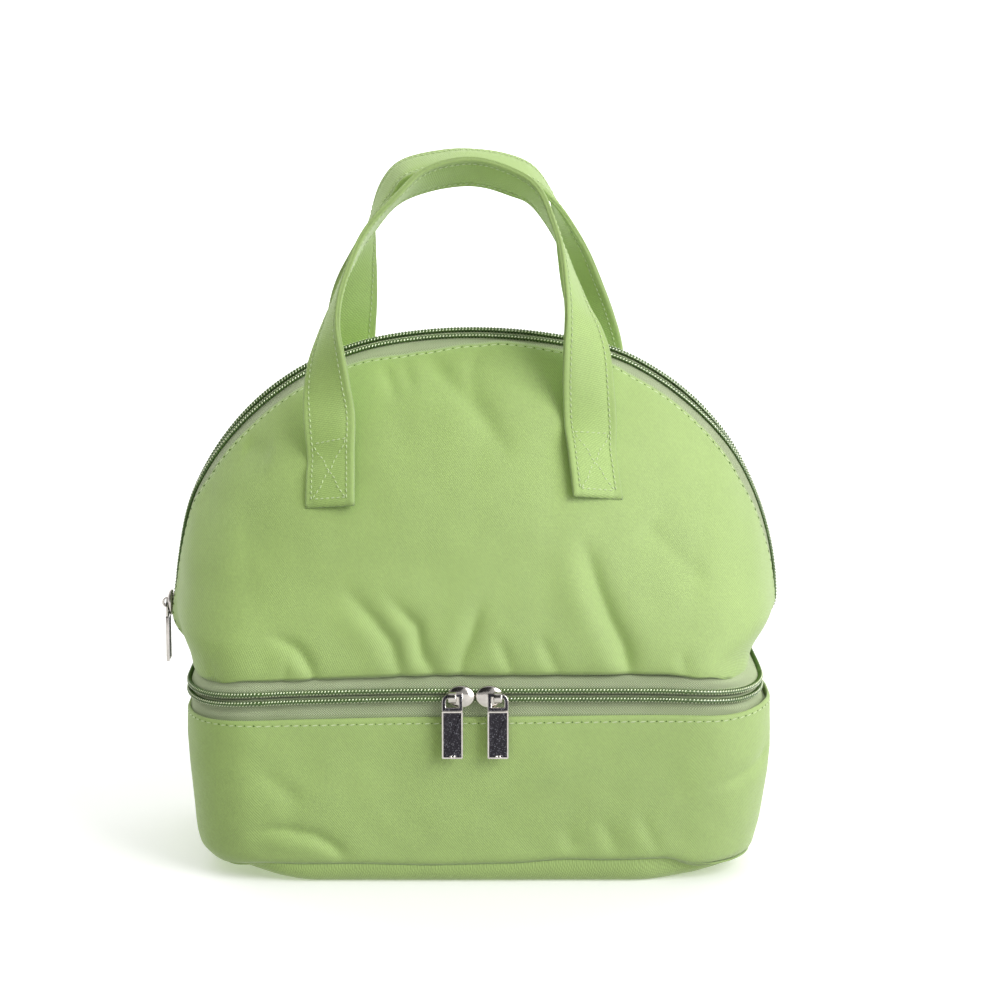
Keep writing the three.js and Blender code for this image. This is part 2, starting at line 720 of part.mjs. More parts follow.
// Slider of the arch zip, low on the left side, with its pull hanging from the crown
const sliderAngle = Math.asin((archSliderHeight - widestHeight) / sideRadius);
const tapeRadius = sideRadius - tapeInset;
const out = new THREE.Vector3(-Math.cos(sliderAngle), 0, Math.sin(sliderAngle));
const alongArch = new THREE.Vector3(Math.sin(sliderAngle), 0, Math.cos(sliderAngle));
const back = new THREE.Vector3(0, 1, 0);
const archPlace = new THREE.Matrix4().makeBasis(alongArch, back, out).setPosition(
  sideCentre.x + tapeRadius * out.x, 0, sideCentre.z + tapeRadius * out.z,
);
const archSlider = addPiece(upper, "arch_slider", slider(0, Math.PI / 2, -webThickness / 2), pullMetal);
archSlider.applyMatrix4(archPlace);
const archPull = addPiece(upper, "arch_pull", pull(), pullMetal);
archPull.applyMatrix4(new THREE.Matrix4().makeBasis(
  new THREE.Vector3(0, -1, 0), new THREE.Vector3(0, 0, 1), new THREE.Vector3(-1, 0, 0),
));
archPull.position.set(
  sideCentre.x + (tapeRadius + barHeight) * out.x, 0, sideCentre.z + (tapeRadius + barHeight) * out.z,
);

export default bag;
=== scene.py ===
"""Insulated lunch bag: the dressed fabric, zips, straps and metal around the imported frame.

Shapes are worked out in millimetres and scaled to metres when a piece is finished.
"""
import math
import bmesh
import bpy
from mathutils import Matrix, Vector, noise


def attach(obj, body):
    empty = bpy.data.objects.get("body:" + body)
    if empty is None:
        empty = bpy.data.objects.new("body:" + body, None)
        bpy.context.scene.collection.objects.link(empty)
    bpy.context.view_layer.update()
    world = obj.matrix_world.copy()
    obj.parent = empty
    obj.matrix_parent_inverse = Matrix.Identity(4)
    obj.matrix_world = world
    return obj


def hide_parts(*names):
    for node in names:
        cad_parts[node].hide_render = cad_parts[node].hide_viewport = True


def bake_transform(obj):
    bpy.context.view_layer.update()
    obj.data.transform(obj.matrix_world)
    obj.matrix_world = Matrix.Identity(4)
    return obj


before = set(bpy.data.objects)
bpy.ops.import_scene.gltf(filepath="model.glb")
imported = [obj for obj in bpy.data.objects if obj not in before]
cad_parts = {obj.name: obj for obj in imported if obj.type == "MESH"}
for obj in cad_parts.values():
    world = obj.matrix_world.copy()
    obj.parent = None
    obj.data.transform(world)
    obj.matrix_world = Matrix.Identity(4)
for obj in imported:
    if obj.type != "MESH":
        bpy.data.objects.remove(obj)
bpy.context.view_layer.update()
scene = bpy.context.scene
MM = 0.001

# Camera, at the photograph's height and angle

CAMERA_PLACE = Vector((12, -1196, 369))
CAMERA_DOWN = 9.9

camera_data = bpy.data.cameras.new("camera")
camera_data.lens = 95.04
camera_data.sensor_width = 36
camera = bpy.data.objects.new("camera", camera_data)
camera.location = CAMERA_PLACE * MM
camera.rotation_euler = (math.radians(90 - CAMERA_DOWN), 0, 0)
scene.collection.objects.link(camera)
scene.camera = camera


# ---- Finishes ----


class Shade:
    """A number that varies over a surface. Its operators add Math nodes."""

    def __init__(self, look, socket):
        self.look = look
        self.socket = socket

    def math(self, operation, *others):
        return self.look.math(operation, self, *others)

    def __add__(self, other):
        return self.math("ADD", other)

    __radd__ = __add__

    def __sub__(self, other):
        return self.math("SUBTRACT", other)

    def __rsub__(self, other):
        return self.look.math("SUBTRACT", other, self)

    def __mul__(self, other):
        return self.math("MULTIPLY", other)

    def __truediv__(self, other):
        return self.math("DIVIDE", other)

    def wave(self, pitch):
        """Goes from 0 to 1 and back once in each pitch."""
        return (self * (2 * math.pi / pitch)).math("SINE") * 0.5 + 0.5

    def fold(self, pitch):
        """Distance to the middle of the nearest pitch, as a zigzag."""
        return self.math("PINGPONG", pitch / 2)

    def ease(self, low, high):
        """0 below low, 1 above high, and smooth between them."""
        sockets = {"Value": self, "From Min": low, "From Max": high}
        smooth = {"interpolation_type": "SMOOTHSTEP"}
        return Shade(self.look, self.look.node("ShaderNodeMapRange", smooth, sockets).outputs[0])


class Nodes:
    """A node tree and short ways of adding to it."""

    def __init__(self, tree):
        self.tree = tree

    def node(self, kind, settings=None, sockets=None):
        made = self.tree.nodes.new(kind)
        for key, value in (settings or {}).items():
            setattr(made, key, value)
        for key, value in (sockets or {}).items():
            self.feed(made.inputs[key], value)
        return made

    def feed(self, socket, value):
        if isinstance(value, Shade):
            value = value.socket
        if isinstance(value, bpy.types.NodeSocket):
            self.tree.links.new(value, socket)
        else:
            socket.default_value = value

    def math(self, operation, *values):
        node = self.node("ShaderNodeMath", {"operation": operation}, dict(enumerate(values)))
        return Shade(self, node.outputs[0])

    def place(self, kind="Object"):
        return self.node("ShaderNodeTexCoord").outputs[kind]

    def split(self, vector):
        """The three parts of a vector."""
        outputs = self.node("ShaderNodeSeparateXYZ", None, {0: vector}).outputs
        return [Shade(self, output) for output in outputs]


class Look(Nodes):
    """A finish: one Principled material, the slot it belongs to and its nodes."""

    def __init__(self, name, slot, **constants):
        self.slot = slot
        self.material = bpy.data.materials.new(name)
        self.material.use_nodes = True
        super().__init__(self.material.node_tree)
        self.shader = self.tree.nodes["Principled BSDF"]
        self.set(**constants)

    def set(self, **sockets):
        for socket, value in sockets.items():
            self.feed(self.shader.inputs[socket.replace("_", " ")], value)

    def cloth_place(self):
        """The piece's own flat measure in millimetres: along it and up it."""
        along, up, _ = self.split(self.place("UV"))
        return along / MM, up / MM

    def grain(self, size, detail=2):
        """Soft noise from 0 to 1 whose patches are about size millimetres."""
        sockets = {"Vector": self.place(), "Scale": 1 / (size * MM), "Detail": detail}
        return Shade(self, self.node("ShaderNodeTexNoise", None, sockets).outputs[0])

    def cells(self, scale, feature="F1"):
        sockets = {"Vector": self.place(), "Scale": scale}
        node = self.node("ShaderNodeTexVoronoi", {"feature": feature}, sockets)
        return Shade(self, node.outputs[0])

    def dress(self, share, first, second, roughness, relief=None, depth=0.0):
        """Colour from first to second, a roughness, and relief of a depth in millimetres."""
        mix = self.node("ShaderNodeMix", {"data_type": "RGBA"}, {0: share, 6: first, 7: second})
        self.set(Base_Color=mix.outputs[2], Roughness=roughness)
        if relief is not None:
            sockets = {"Height": relief, "Distance": depth * MM}
            self.set(Normal=self.node("ShaderNodeBump", None, sockets).outputs[0])
        return self


def srgb(*screen):
    """Colour from its 0 to 255 screen values."""
    return (*[((c / 255 + 0.055) / 1.055) ** 2.4 for c in screen], 1)


def twill_look(name, slot, colour, pitch):
    """Woven polyester: fine twill ribs crossed by the weft, mottled like melange yarn."""
    look = Look(name, slot, Sheen_Weight=0.34, Sheen_Roughness=0.5, Specular_IOR_Level=0.8)
    along, up = look.cloth_place()
    wander = look.grain(7) * 0.4
    ribs = (along * 0.83 + up * 0.56 + wander).wave(pitch)
    weft = (up * 0.92 - along * 0.40 + wander).wave(pitch * 0.72)
    weave = ribs * 0.34 + weft * 0.32 + ribs * weft * 0.34
    patch, yarn, streak = look.grain(34, 3), look.grain(1.3), look.grain(9)
    tone = weave * 0.42 + yarn * 0.5 + streak * 0.24 + patch * 0.3 - 0.22
    dark, light = ((*[c * share for c in colour], 1) for share in (0.75, 1.20))
    return look.dress(tone, dark, light, 0.84 - weave * 0.1, weave + yarn * 0.5, 0.13)


def tape_look():
    """Zip tape: fine herringbone in a duller green."""
    look = Look("zip_tape_twill", "zip_tape", Sheen_Weight=0.15, Specular_IOR_Level=0.25)
    along, up = look.cloth_place()
    chevrons = (along + up.fold(3.6) * 1.5).wave(1.15)
    tone = chevrons * 0.7 + look.grain(16) * 0.35
    roughness = 0.9 - chevrons * 0.15
    return look.dress(tone, srgb(150, 169, 116), srgb(216, 229, 186), roughness, chevrons, 0.3)


def thread_look():
    """Sewing thread: two plies twisted together."""
    look = Look("sewing_thread", "outer_fabric", Specular_IOR_Level=0.4, Sheen_Weight=0.2)
    across, _, high = look.split(look.place())
    ply = (across / MM + high / MM).wave(0.6)
    return look.dress(ply, srgb(190, 216, 146), srgb(226, 240, 192), 0.62 - ply * 0.12, ply, 0.08)


def painted_hole_shade_look():
    """Needle holes: dark colour painted as the shade in the holes and where the thread pulls into
    the cloth.
    """
    look = Look("needle_hole_painted_shade", "outer_fabric", Specular_IOR_Level=0.1)
    return look.dress(look.grain(1.5, 1), srgb(54, 84, 26), srgb(98, 132, 58), 0.9)


def painted_crest_highlight_look():
    """Painted highlight on the outer side of the coil's turns: a pale, glossy colour that stands in
    for the light they catch.
    """
    look = Look("nylon_crest_painted_highlight", "zip_coil", Specular_IOR_Level=0.9, Coat_Weight=0.4)
    roughness = 0.22 + look.grain(1.1, 1) * 0.1
    return look.dress(look.grain(1.8, 1), srgb(206, 226, 160), srgb(246, 252, 220), roughness)


def coil_look():
    """Nylon monofilament, dyed dark green and a little glossy."""
    look = Look("nylon_coil", "zip_coil", Specular_IOR_Level=0.6)
    tint, relief = look.grain(5, 1), look.grain(0.9, 1)
    roughness = 0.30 + look.grain(1.4, 1) * 0.16
    return look.dress(tint, srgb(52, 82, 24), srgb(92, 126, 52), roughness, relief, 0.03)


def foam_look():
    """Closed-cell foam: fine round cells, a little uneven in tone."""
    look = Look("foam", "foam", Specular_IOR_Level=0.2)
    cell = look.cells(1100)
    roughness = 0.92 - cell * 0.1
    return look.dress(cell, srgb(240, 240, 233), srgb(205, 205, 195), roughness, 1 - cell, 0.12)


def foil_look():
    """Foil-faced film, crinkled from folding."""
    look = Look("foil_film", "foil_lining", Metallic=0.85, Coat_Weight=0.15, Coat_Roughness=0.2)
    line = look.cells(52, "DISTANCE_TO_EDGE").ease(0.0, 0.45)
    soft = look.grain(11, 3)
    along, up = look.cloth_place()
    grid = along.fold(1.8).ease(0.0, 0.22) * up.fold(1.8).ease(0.0, 0.22)
    relief = line * 0.45 + soft * 1.3 + look.grain(4) * 0.35 + grid * 0.12
    roughness = 0.26 + soft * 0.2
    return look.dress(soft, srgb(188, 191, 194), srgb(226, 228, 230), roughness, relief, 0.5)


def nickel_look():
    """Nickel-plated casting with faint wear."""
    look = Look("polished_nickel", "pull_metal", Metallic=1.0, Coat_Weight=0.1)
    wear = look.grain(2.5, 3)
    roughness = 0.10 + wear * 0.12
    return look.dress(wear, srgb(168, 162, 156), srgb(214, 209, 203), roughness, wear, 0.04)


def painted_dark_reflection_look():
    """The recessed face of a pull: dark colour painted as the dark reflection its polished face
    shows, with a fine cast texture and specks.
    """
    look = Look("painted_dark_reflection_metal", "pull_metal", Metallic=0.85, Specular_IOR_Level=0.5)
    cast = look.grain(0.55)
    speck = look.grain(0.5, 1).ease(0.60, 0.70)
    return look.dress(speck, srgb(38, 36, 41), srgb(104, 104, 110), 0.36 + cast * 0.2, cast, 0.10)


SHELL = twill_look("green_twill", "outer_fabric", (0.364, 0.537, 0.125), 0.85)
STRAP = twill_look("green_strap_twill", "strap_fabric", (0.366, 0.55, 0.122), 0.80)
TAPE = tape_look()
THREAD = thread_look()
HOLE_SHADE = painted_hole_shade_look()
CREST_HIGHLIGHT = painted_crest_highlight_look()
COIL = coil_look()
FOAM = foam_look()
FOIL = foil_look()
NICKEL = nickel_look()
DARK_REFLECTION_METAL = painted_dark_reflection_look()


# ---- Making pieces ----


def lerp(a, b, share):
    return a + (b - a) * share


def clamp(value, low=0.0, high=1.0):
    return max(low, min(high, value))


def ease(low, high, value):
    share = clamp((value - low) / (high - low))
    return share * share * (3 - 2 * share)


def hump(offset, width):
    """Bell curve, 1 where there is no offset."""
    return math.exp(-((offset / width) ** 2))


def rounding(share):
    """Height of a quarter circle, a share of the way in from its edge."""
    return math.sqrt(1 - (1 - clamp(share)) ** 2)


def through(points, at):
    """Value at a place on a smooth line through (place, value) points."""
    if at <= points[0][0]:
        return points[0][1]
    for (a, low), (b, high) in zip(points, points[1:]):
        if at <= b:
            return lerp(low, high, ease(a, b, at))
    return points[-1][1]


def rumple(x, y, z, size):
    """Soft irregular swell from -1 to 1, with patches about size millimetres."""
    return noise.noise(Vector((x, y, z)) / size)


def on_profile(profile, share):
    """Values a share of the way through the rows of a profile."""
    row = share * (len(profile) - 1)
    k = min(int(row), len(profile) - 2)
    return [lerp(a, b, row - k) for a, b in zip(profile[k], profile[k + 1])]


def squared(vector, axis):
    """Direction of a vector, made square to an axis."""
    return (vector - axis * vector.dot(axis)).normalized()


def outward_of(surface, u, v, step_u, step_v):
    """Outward direction at a place on a surface of points surface(u, v)."""
    across = surface(u + step_u, v) - surface(u - step_u, v)
    upward = surface(u, v + step_v) - surface(u, v - step_v)
    return across.cross(upward).normalized()


def formed(columns, rows, place, flat, is_loop=False):
    """Grid whose points are laid out by place(u, v). Its weave map holds flat(u, v) in metres."""
    bm = bmesh.new()
    weave = bm.loops.layers.uv.new("weave")
    bmesh.ops.create_grid(bm, x_segments=columns, y_segments=rows, size=0.5)
    for face in bm.faces:
        for loop in face.loops:
            u, v = loop.vert.co.x + 0.5, loop.vert.co.y + 0.5
            loop[weave].uv = Vector(flat(u, v)) * MM
    for vert in bm.verts:
        vert.co = place(vert.co.x + 0.5, vert.co.y + 0.5)
    if is_loop:
        bmesh.ops.remove_doubles(bm, verts=bm.verts, dist=0.004)
    return bm


def closed(bm):
    """Merges the seams of a closed shape and turns its faces out."""
    bmesh.ops.remove_doubles(bm, verts=bm.verts, dist=0.002)
    bmesh.ops.recalc_face_normals(bm, faces=bm.faces)
    return bm


def kept(name, bm):
    """Mesh of a bmesh."""
    mesh = bpy.data.meshes.new(name)
    bm.to_mesh(mesh)
    bm.free()
    return mesh


def add_to(bm, other):
    """Moves the shape of another bmesh into bm."""
    mesh = kept("part", other)
    bm.from_mesh(mesh)
    bpy.data.meshes.remove(mesh)


def linked(name, data):
    made = bpy.data.objects.new(name, data)
    scene.collection.objects.link(made)
    return made


def piece(
    name, bm, look, body, *stands_for, thickness=0.0, turned=False, fill=None, second=None
):
    """Scales the bmesh to metres and makes it a piece that rides on a body."""
    if turned:
        bmesh.ops.reverse_faces(bm, faces=bm.faces)
    bmesh.ops.scale(bm, vec=(MM, MM, MM), verts=bm.verts)
    mesh = kept(name, bm)
    mesh.shade_smooth()
    mesh.materials.append(look.material)
    if second:
        mesh.materials.append(second.material)
    made = linked(name, mesh)
    if thickness:
        wall = made.modifiers.new("thickness", "SOLIDIFY")
        wall.thickness = thickness * MM
        wall.offset = -1
    if body:
        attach(made, body)
    if stands_for:
        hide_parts(*stands_for)
    return made


def stamped(*sets):
    """One bmesh with a copy of each set's stamp at each of its places, 4x4 matrices."""
    bm = bmesh.new()
    for stamp, places in sets:
        for place in places:
            copy = stamp.copy()
            copy.transform(place)
            bm.from_mesh(copy)
            bpy.data.meshes.remove(copy)
    return bm


def axes(x_axis, y_axis, z_axis, point):
    """Matrix that lays out a shape along three axes about a point."""
    matrix = Matrix((x_axis, y_axis, z_axis)).transposed().to_4x4()
    matrix.translation = point
    return matrix


def standing(point, forward, outward):
    """Matrix with X along forward and Z along outward."""
    x_axis = forward.normalized()
    y_axis = outward.cross(x_axis).normalized()
    return axes(x_axis, y_axis, x_axis.cross(y_axis), point)


def ball(bm, size, middle, u_segments, v_segments):
    """Ellipsoid about a middle. size holds its three half widths."""
    place = Matrix.Translation(middle) @ Matrix.Diagonal((*size, 1))
    bmesh.ops.create_uvsphere(
        bm, u_segments=u_segments, v_segments=v_segments, radius=1, matrix=place
    )


STITCH_SHARE = 0.66
STITCH_SLANT = 0.14
HEM_STITCH_PITCH = 4.1


def thread_stamp(length, width):
    """One stitch: a small rounded bar of thread along X."""
    bm = bmesh.new()
    bmesh.ops.create_uvsphere(bm, u_segments=6, v_segments=5, radius=0.5)
    size = Matrix.Diagonal((length, width, width * 0.8, 1))
    turn = Matrix.Rotation(math.pi / 2, 4, "Y")
    bmesh.ops.transform(bm, matrix=size @ turn, verts=bm.verts)
    return kept("stitch", bm)


def hole_stamp(pitch):
    """The needle hole at the end of a stitch. Its faces take the painted shade of the hole."""
    bm = bmesh.new()
    ball(bm, (0.55, 0.495, 0.275), (pitch / 2, -0.05, -0.08), 6, 4)
    # the whole hole takes the dark colour, a painted shade
    for face in bm.faces:
        face.material_index = 1
    return kept("needle_hole_painted_shade", bm)


def stitch_places(line, pitch):
    """Places of the stitches along a line of (point, outward) pairs."""
    places = []
    travelled = 0.0
    due = pitch / 2
    for (a, out_a), (b, out_b) in zip(line, line[1:]):
        span = (b - a).length
        while span > 0 and due <= travelled + span:
            share = (due - travelled) / span
            places.append(standing(a.lerp(b, share), b - a, out_a.lerp(out_b, share)))
            due += pitch
        travelled += span
    return places


def sewn(name, lines, pitch, body, width=0.72, holes=True):
    """Rows of stitches along lines of (point, outward) pairs, with a needle hole of painted shade
    at each end.
    """
    lean = Matrix.Rotation(STITCH_SLANT, 4, "Z")
    places = [place @ lean for line in lines for place in stitch_places(line, pitch)]
    thread, hole = thread_stamp(pitch * STITCH_SHARE, width), hole_stamp(pitch)
    stitches = stamped((thread, places), (hole, places if holes else []))
    made = piece(name, stitches, THREAD, body, second=HOLE_SHADE)
    bpy.data.meshes.remove(thread)
    bpy.data.meshes.remove(hole)
    return made


def crease(x, z, line, depth, width, puff=0.0, puff_width=1.0, start_fade=0.5, end_fade=0.0):
    """Height of one fold at a point. The line runs from the fold's faint end.
    The valley lies on the line, and a puff on its right-hand side."""
    low_x = min(p[0] for p in line) - 4 * width
    high_x = max(p[0] for p in line) + 4 * width
    if not low_x < x < high_x:
        return 0.0
    near = []
    travelled = 0.0
    for a, b in zip(line, line[1:]):
        run_x, run_z = b[0] - a[0], b[1] - a[1]
        span = math.hypot(run_x, run_z)
        share = clamp(((x - a[0]) * run_x + (z - a[1]) * run_z) / span**2)
        off_x, off_z = x - a[0] - run_x * share, z - a[1] - run_z * share
        side = 1 if run_z * off_x - run_x * off_z > 0 else -1
        near.append((math.hypot(off_x, off_z), side, travelled + span * share))
        travelled += span
    away, side, along = min(near, key=lambda spot: spot[0])
    along /= travelled
    strength = ease(0, start_fade, along)
    if end_fade:
        strength *= ease(0, end_fade, 1 - along)
    # a narrow valley in a wider hollow
    width *= 1.2
    hollow = hump(away, width)
    height = -depth * (0.6 * hollow + 0.4 * hollow**6)
    height += puff * 0.48 * hump(away * side - 1.6 * width, puff_width * 1.25)
    return height * strength


# ---- Shapes of the bag, in millimetres ----

BAND_HALF_WIDTH = 133.0
BAND_HALF_DEPTH = 75.5
BAND_CORNER = 38.0
FRONT_RUN = BAND_HALF_WIDTH - BAND_CORNER
CORNER_RUN = math.pi / 2 * BAND_CORNER
SIDE_RUN = 2 * (BAND_HALF_DEPTH - BAND_CORNER)
BAND_LENGTH = 4 * (FRONT_RUN + CORNER_RUN) + 2 * SIDE_RUN
HALF_BAND = BAND_LENGTH / 2
LEFT_DRAW = 6.4
RIGHT_DRAW = 4.8
CORNER_POWER = 0.88

BOTTOM_SEAM = 9.0
LOWER_HEM = 75.8
CHAIN_HEIGHT = 85.7
UPPER_SEAM = 96.5
OVERHANG = 5.2
CHAIN_GAP = 1.2
WALL_STITCH_INSET = 2.8
PANEL_STITCH_INSET = 2.4

CROWN_RADIUS = 230.0
DOME_TOP = 239.0
SIDE_RADIUS = 122.578
SIDE_CENTRE = (-17.422, 115.0)
CURL_RADIUS = 14.0
CURL_CENTRE = (-125.870, 109.685)
SIDE_TOP_ANGLE = 1.40790
SIDE_FOOT_ANGLE = -0.04897
CURL_END_ANGLE = -0.86826
CURL_RUN = CURL_RADIUS * (SIDE_FOOT_ANGLE - CURL_END_ANGLE)
SIDE_ARC_RUN = SIDE_RADIUS * (SIDE_TOP_ANGLE - SIDE_FOOT_ANGLE)
CROWN_RUN = CROWN_RADIUS * (math.pi / 2 - SIDE_TOP_ANGLE)
ARCH_HALF = CURL_RUN + SIDE_ARC_RUN + CROWN_RUN
PANEL_FOOT_RUN = FRONT_RUN + CORNER_RUN + SIDE_RUN / 2 - 18.0

COIL_THICKNESS = 2.2
COIL_WIDTH = 2.7
HALF_CHAIN = 3.2
TAPE_INSET = 2.5


def side_draw_at(distance, height):
    """How far a side is drawn in: the left one low down too, the right one at the zip alone."""
    near_zip = ease(74.5, 83, height)
    if wrapped(distance) < 0:
        return lerp(lerp(2.2, 5.0, ease(BOTTOM_SEAM, 46, height)), LEFT_DRAW, near_zip)
    return RIGHT_DRAW * near_zip


def corner_turn(x, height):
    """How far the low corners of the dome turn in, along x."""
    turn = 7.5 * ease(116, 97, height) if x > 0 else 3.4 * ease(110, 95, height)
    turn *= ease(96, 127, abs(x))
    return math.copysign(turn, x)


def band(distance, draw=0.0, side_draw=RIGHT_DRAW):
    """Plan point and outward direction, a distance round the band from the middle of its front.
    The filled bag draws the band in at both sides."""
    run = abs(distance)
    sign = 1 if distance >= 0 else -1
    straight = BAND_HALF_DEPTH - BAND_CORNER
    quarter = 2 * (FRONT_RUN + CORNER_RUN) + SIDE_RUN
    back = run > quarter / 2
    if back:
        run = quarter - run
    if run <= FRONT_RUN:
        x, y, nx, ny = run, BAND_HALF_DEPTH, 0.0, 1.0
    elif run <= FRONT_RUN + CORNER_RUN:
        angle = (run - FRONT_RUN) / BAND_CORNER
        nx, ny = math.sin(angle), math.cos(angle)
        # fuller than a round corner
        x = FRONT_RUN + BAND_CORNER * nx ** CORNER_POWER
        y = straight + BAND_CORNER * ny ** CORNER_POWER
    else:
        nx, ny = 1.0, 0.0
        x, y = BAND_HALF_WIDTH, straight - (run - FRONT_RUN - CORNER_RUN)
    x, y = x - nx * draw, y - ny * draw
    x -= side_draw * ease(60, BAND_HALF_WIDTH, x)
    turn = 1 if back else -1
    return sign * x, turn * y, sign * nx, turn * ny


def on_band(distance, draw, height):
    x, y, _, _ = band(distance, draw, side_draw_at(distance, height))
    # the zip dips at its front corners, and its upper tape leans in under the dome
    run = wrapped(distance)
    dip = 2.0 * hump(abs(run) - 126, 26) * ease(70, 80, height)
    # and it stands a little higher from the middle of the front to the right
    rise = 1.5 * ease(-105, -15, run) * ease(210, 150, run)
    dip -= rise * ease(74, 82, height) * ease(97, 91, height)
    return Vector((x - corner_turn(x, 96) * ease(87, 95, height), y, height - dip))


def wrapped(distance):
    """The same place round the band as a distance of at most half its length."""
    return (distance + HALF_BAND) % BAND_LENGTH - HALF_BAND


def flank_share(run):
    """1 at the sides of the band and 0 at the middle of its front and back."""
    return ease(70, 125, run) * ease(HALF_BAND - 70, HALF_BAND - 125, run)


def round_band(u):
    """Distance round the band for a share of its whole length, with the join at the back."""
    return (u - 0.5) * BAND_LENGTH


def arch(along, inset=0.0):
    """Point (x, z) of the arch, a share of the way from its left foot, and its direction out."""
    mirrored = along > 0.5
    run = 2 * ARCH_HALF * (1 - along if mirrored else along)
    if run < CURL_RUN:
        centre, radius, angle = CURL_CENTRE, CURL_RADIUS, CURL_END_ANGLE + run / CURL_RADIUS
    elif run < CURL_RUN + SIDE_ARC_RUN:
        centre, radius = SIDE_CENTRE, SIDE_RADIUS
        angle = SIDE_FOOT_ANGLE + (run - CURL_RUN) / SIDE_RADIUS
    else:
        centre, radius = (0.0, DOME_TOP - CROWN_RADIUS), CROWN_RADIUS
        angle = SIDE_TOP_ANGLE + (run - CURL_RUN - SIDE_ARC_RUN) / CROWN_RADIUS
    x = centre[0] - (radius - inset) * math.cos(angle)
    z = centre[1] + (radius - inset) * math.sin(angle)
    nx, nz = -math.cos(angle), math.sin(angle)
    # the two sides aren't quite alike: the right shoulder is fuller and its foot turns further in,
    # the left side is flatter and its foot has settled lower
    if mirrored:
        full = 1.6 * ease(35, 72, -x) * ease(140, 112, -x)
        return -x - nx * full, z + nz * full, -nx, nz
    flat = 2.0 * ease(168, 134, z) * ease(106, 126, z)
    return x - nx * flat, z - nz * flat - 5.0 * ease(122, 100, z), nx, nz


# How far the tape of the arch slopes in from the chain to the hem of the panel, by x
FRONT_TAPE_SLOPE = [
    (-141, -1.7), (-132, -0.4), (-122, 1.6), (-101, 3.0), (-78, 3.4), (-52, 3.6), (-33, 4.6),
    (-23, 4.2), (0, 2.2), (14, 0.8), (39, 1.6), (56, 1.4), (66, 2.4), (75, 3.4), (102, 3.0),
    (125, 2.4), (134, 0.8), (141, -0.8),
]
REAR_TAPE_SLOPE = [(-141, -1.2), (-100, 3.0), (0, 4.5), (100, 3.0), (141, -1.2)]
HEM_REACH = 8.6


def tape_slope(side, x):
    return through(FRONT_TAPE_SLOPE if side < 0 else REAR_TAPE_SLOPE, x)


def panel_frame(side, along, up):
    """Plain swell of a panel between the band and its hem on the arch's tape, as the front."""
    foot_run = (2 * along - 1) * PANEL_FOOT_RUN
    x, y, nx, ny = band(foot_run, 1.0, side_draw_at(foot_run, UPPER_SEAM))
    slope = tape_slope(side, arch(along)[0])
    edge_x, edge_z, _, _ = arch(along, TAPE_INSET + slope)
    low = Vector((x, y, UPPER_SEAM))
    high = Vector((edge_x, -(HEM_REACH + 0.7), edge_z))
    swell = 20.0 * math.sin(math.pi * along) ** 1.7 * 4 * up * (1 - up)
    outward = Vector((nx, ny, 0.4)).normalized()
    return low.lerp(high, up) + outward * swell, (high - low).length


# Folds of the panels: line from the faint end, depth, width, puff, and the puff's width
FRONT_FOLDS = [
    (
        [(-92, 112), (-83, 110), (-77, 108), (-73.4, 105.4), (-70.6, 102), (-68, 96)],
        3.0, 2.7, 2.4, 5.0,
    ),
    ([(-79, 104), (-82, 100), (-84.5, 96)], 1.4, 1.8, 0.4, 3.0),
    ([(-60, 138), (-51, 128), (-42, 119), (-35, 110), (-30, 96)], 2.6, 4.0, 1.6, 5.0),
    ([(-41, 135), (-34, 127), (-24, 117), (-22, 106), (-14, 96)], 3.0, 3.4, 1.8, 4.5),
    ([(7, 132), (3, 125), (-1, 112), (-5, 103), (-5, 96)], 2.6, 3.8, 1.2, 4.5),
    ([(9, 116), (13, 108), (19, 96)], 1.6, 2.8, 0.8, 3.5),
    ([(27, 116), (32, 108), (39, 96)], 1.6, 2.8, 0.8, 3.5),
    ([(44, 162), (51, 146), (55, 133), (60, 120), (66, 108), (69, 96)], 4.2, 4.8, 2.0, 6.0),
    ([(90, 108), (94, 96)], 1.1, 3.0, 0.5, 4.0),
    ([(-118, 104), (-112, 96)], 1.0, 3.0, 0.5, 4.0),
]
FRONT_DENTS = [
    ([(16, 180), (13, 194), (3, 208), (-10, 219), (-20, 229), (-23, 236)], 3.0, 7.5),
    ([(3, 204), (-1, 220), (1, 236)], 1.5, 6.0),
    ([(-33, 208), (-38, 220), (-43, 231)], 1.5, 3.8),
    ([(-25, 212), (-30, 222), (-34, 234)], 1.2, 3.4),
    ([(108, 126), (98, 139), (83, 153), (75, 162)], 1.7, 7.0),
    ([(-88, 186), (-104, 189)], 1.2, 6.0),
]
REAR_FOLDS = [
    ([(88, 128), (80, 112), (72, 96)], 2.6, 4.0, 1.4, 5.0),
    ([(40, 134), (33, 116), (30, 96)], 2.4, 3.6, 1.2, 4.5),
    ([(-12, 126), (-8, 110), (-4, 96)], 2.2, 3.6, 1.2, 4.5),
    ([(-52, 148), (-58, 124), (-66, 96)], 3.2, 4.6, 1.6, 5.5),
    ([(-96, 112), (-92, 96)], 1.4, 3.0, 0.6, 4.0),
    ([(104, 108), (110, 96)], 1.2, 3.0, 0.6, 4.0),
]
REAR_DENTS = [
    ([(-8, 176), (-4, 205), (2, 236)], 2.0, 9.0),
    ([(30, 200), (38, 230)], 1.5, 5.0),
]


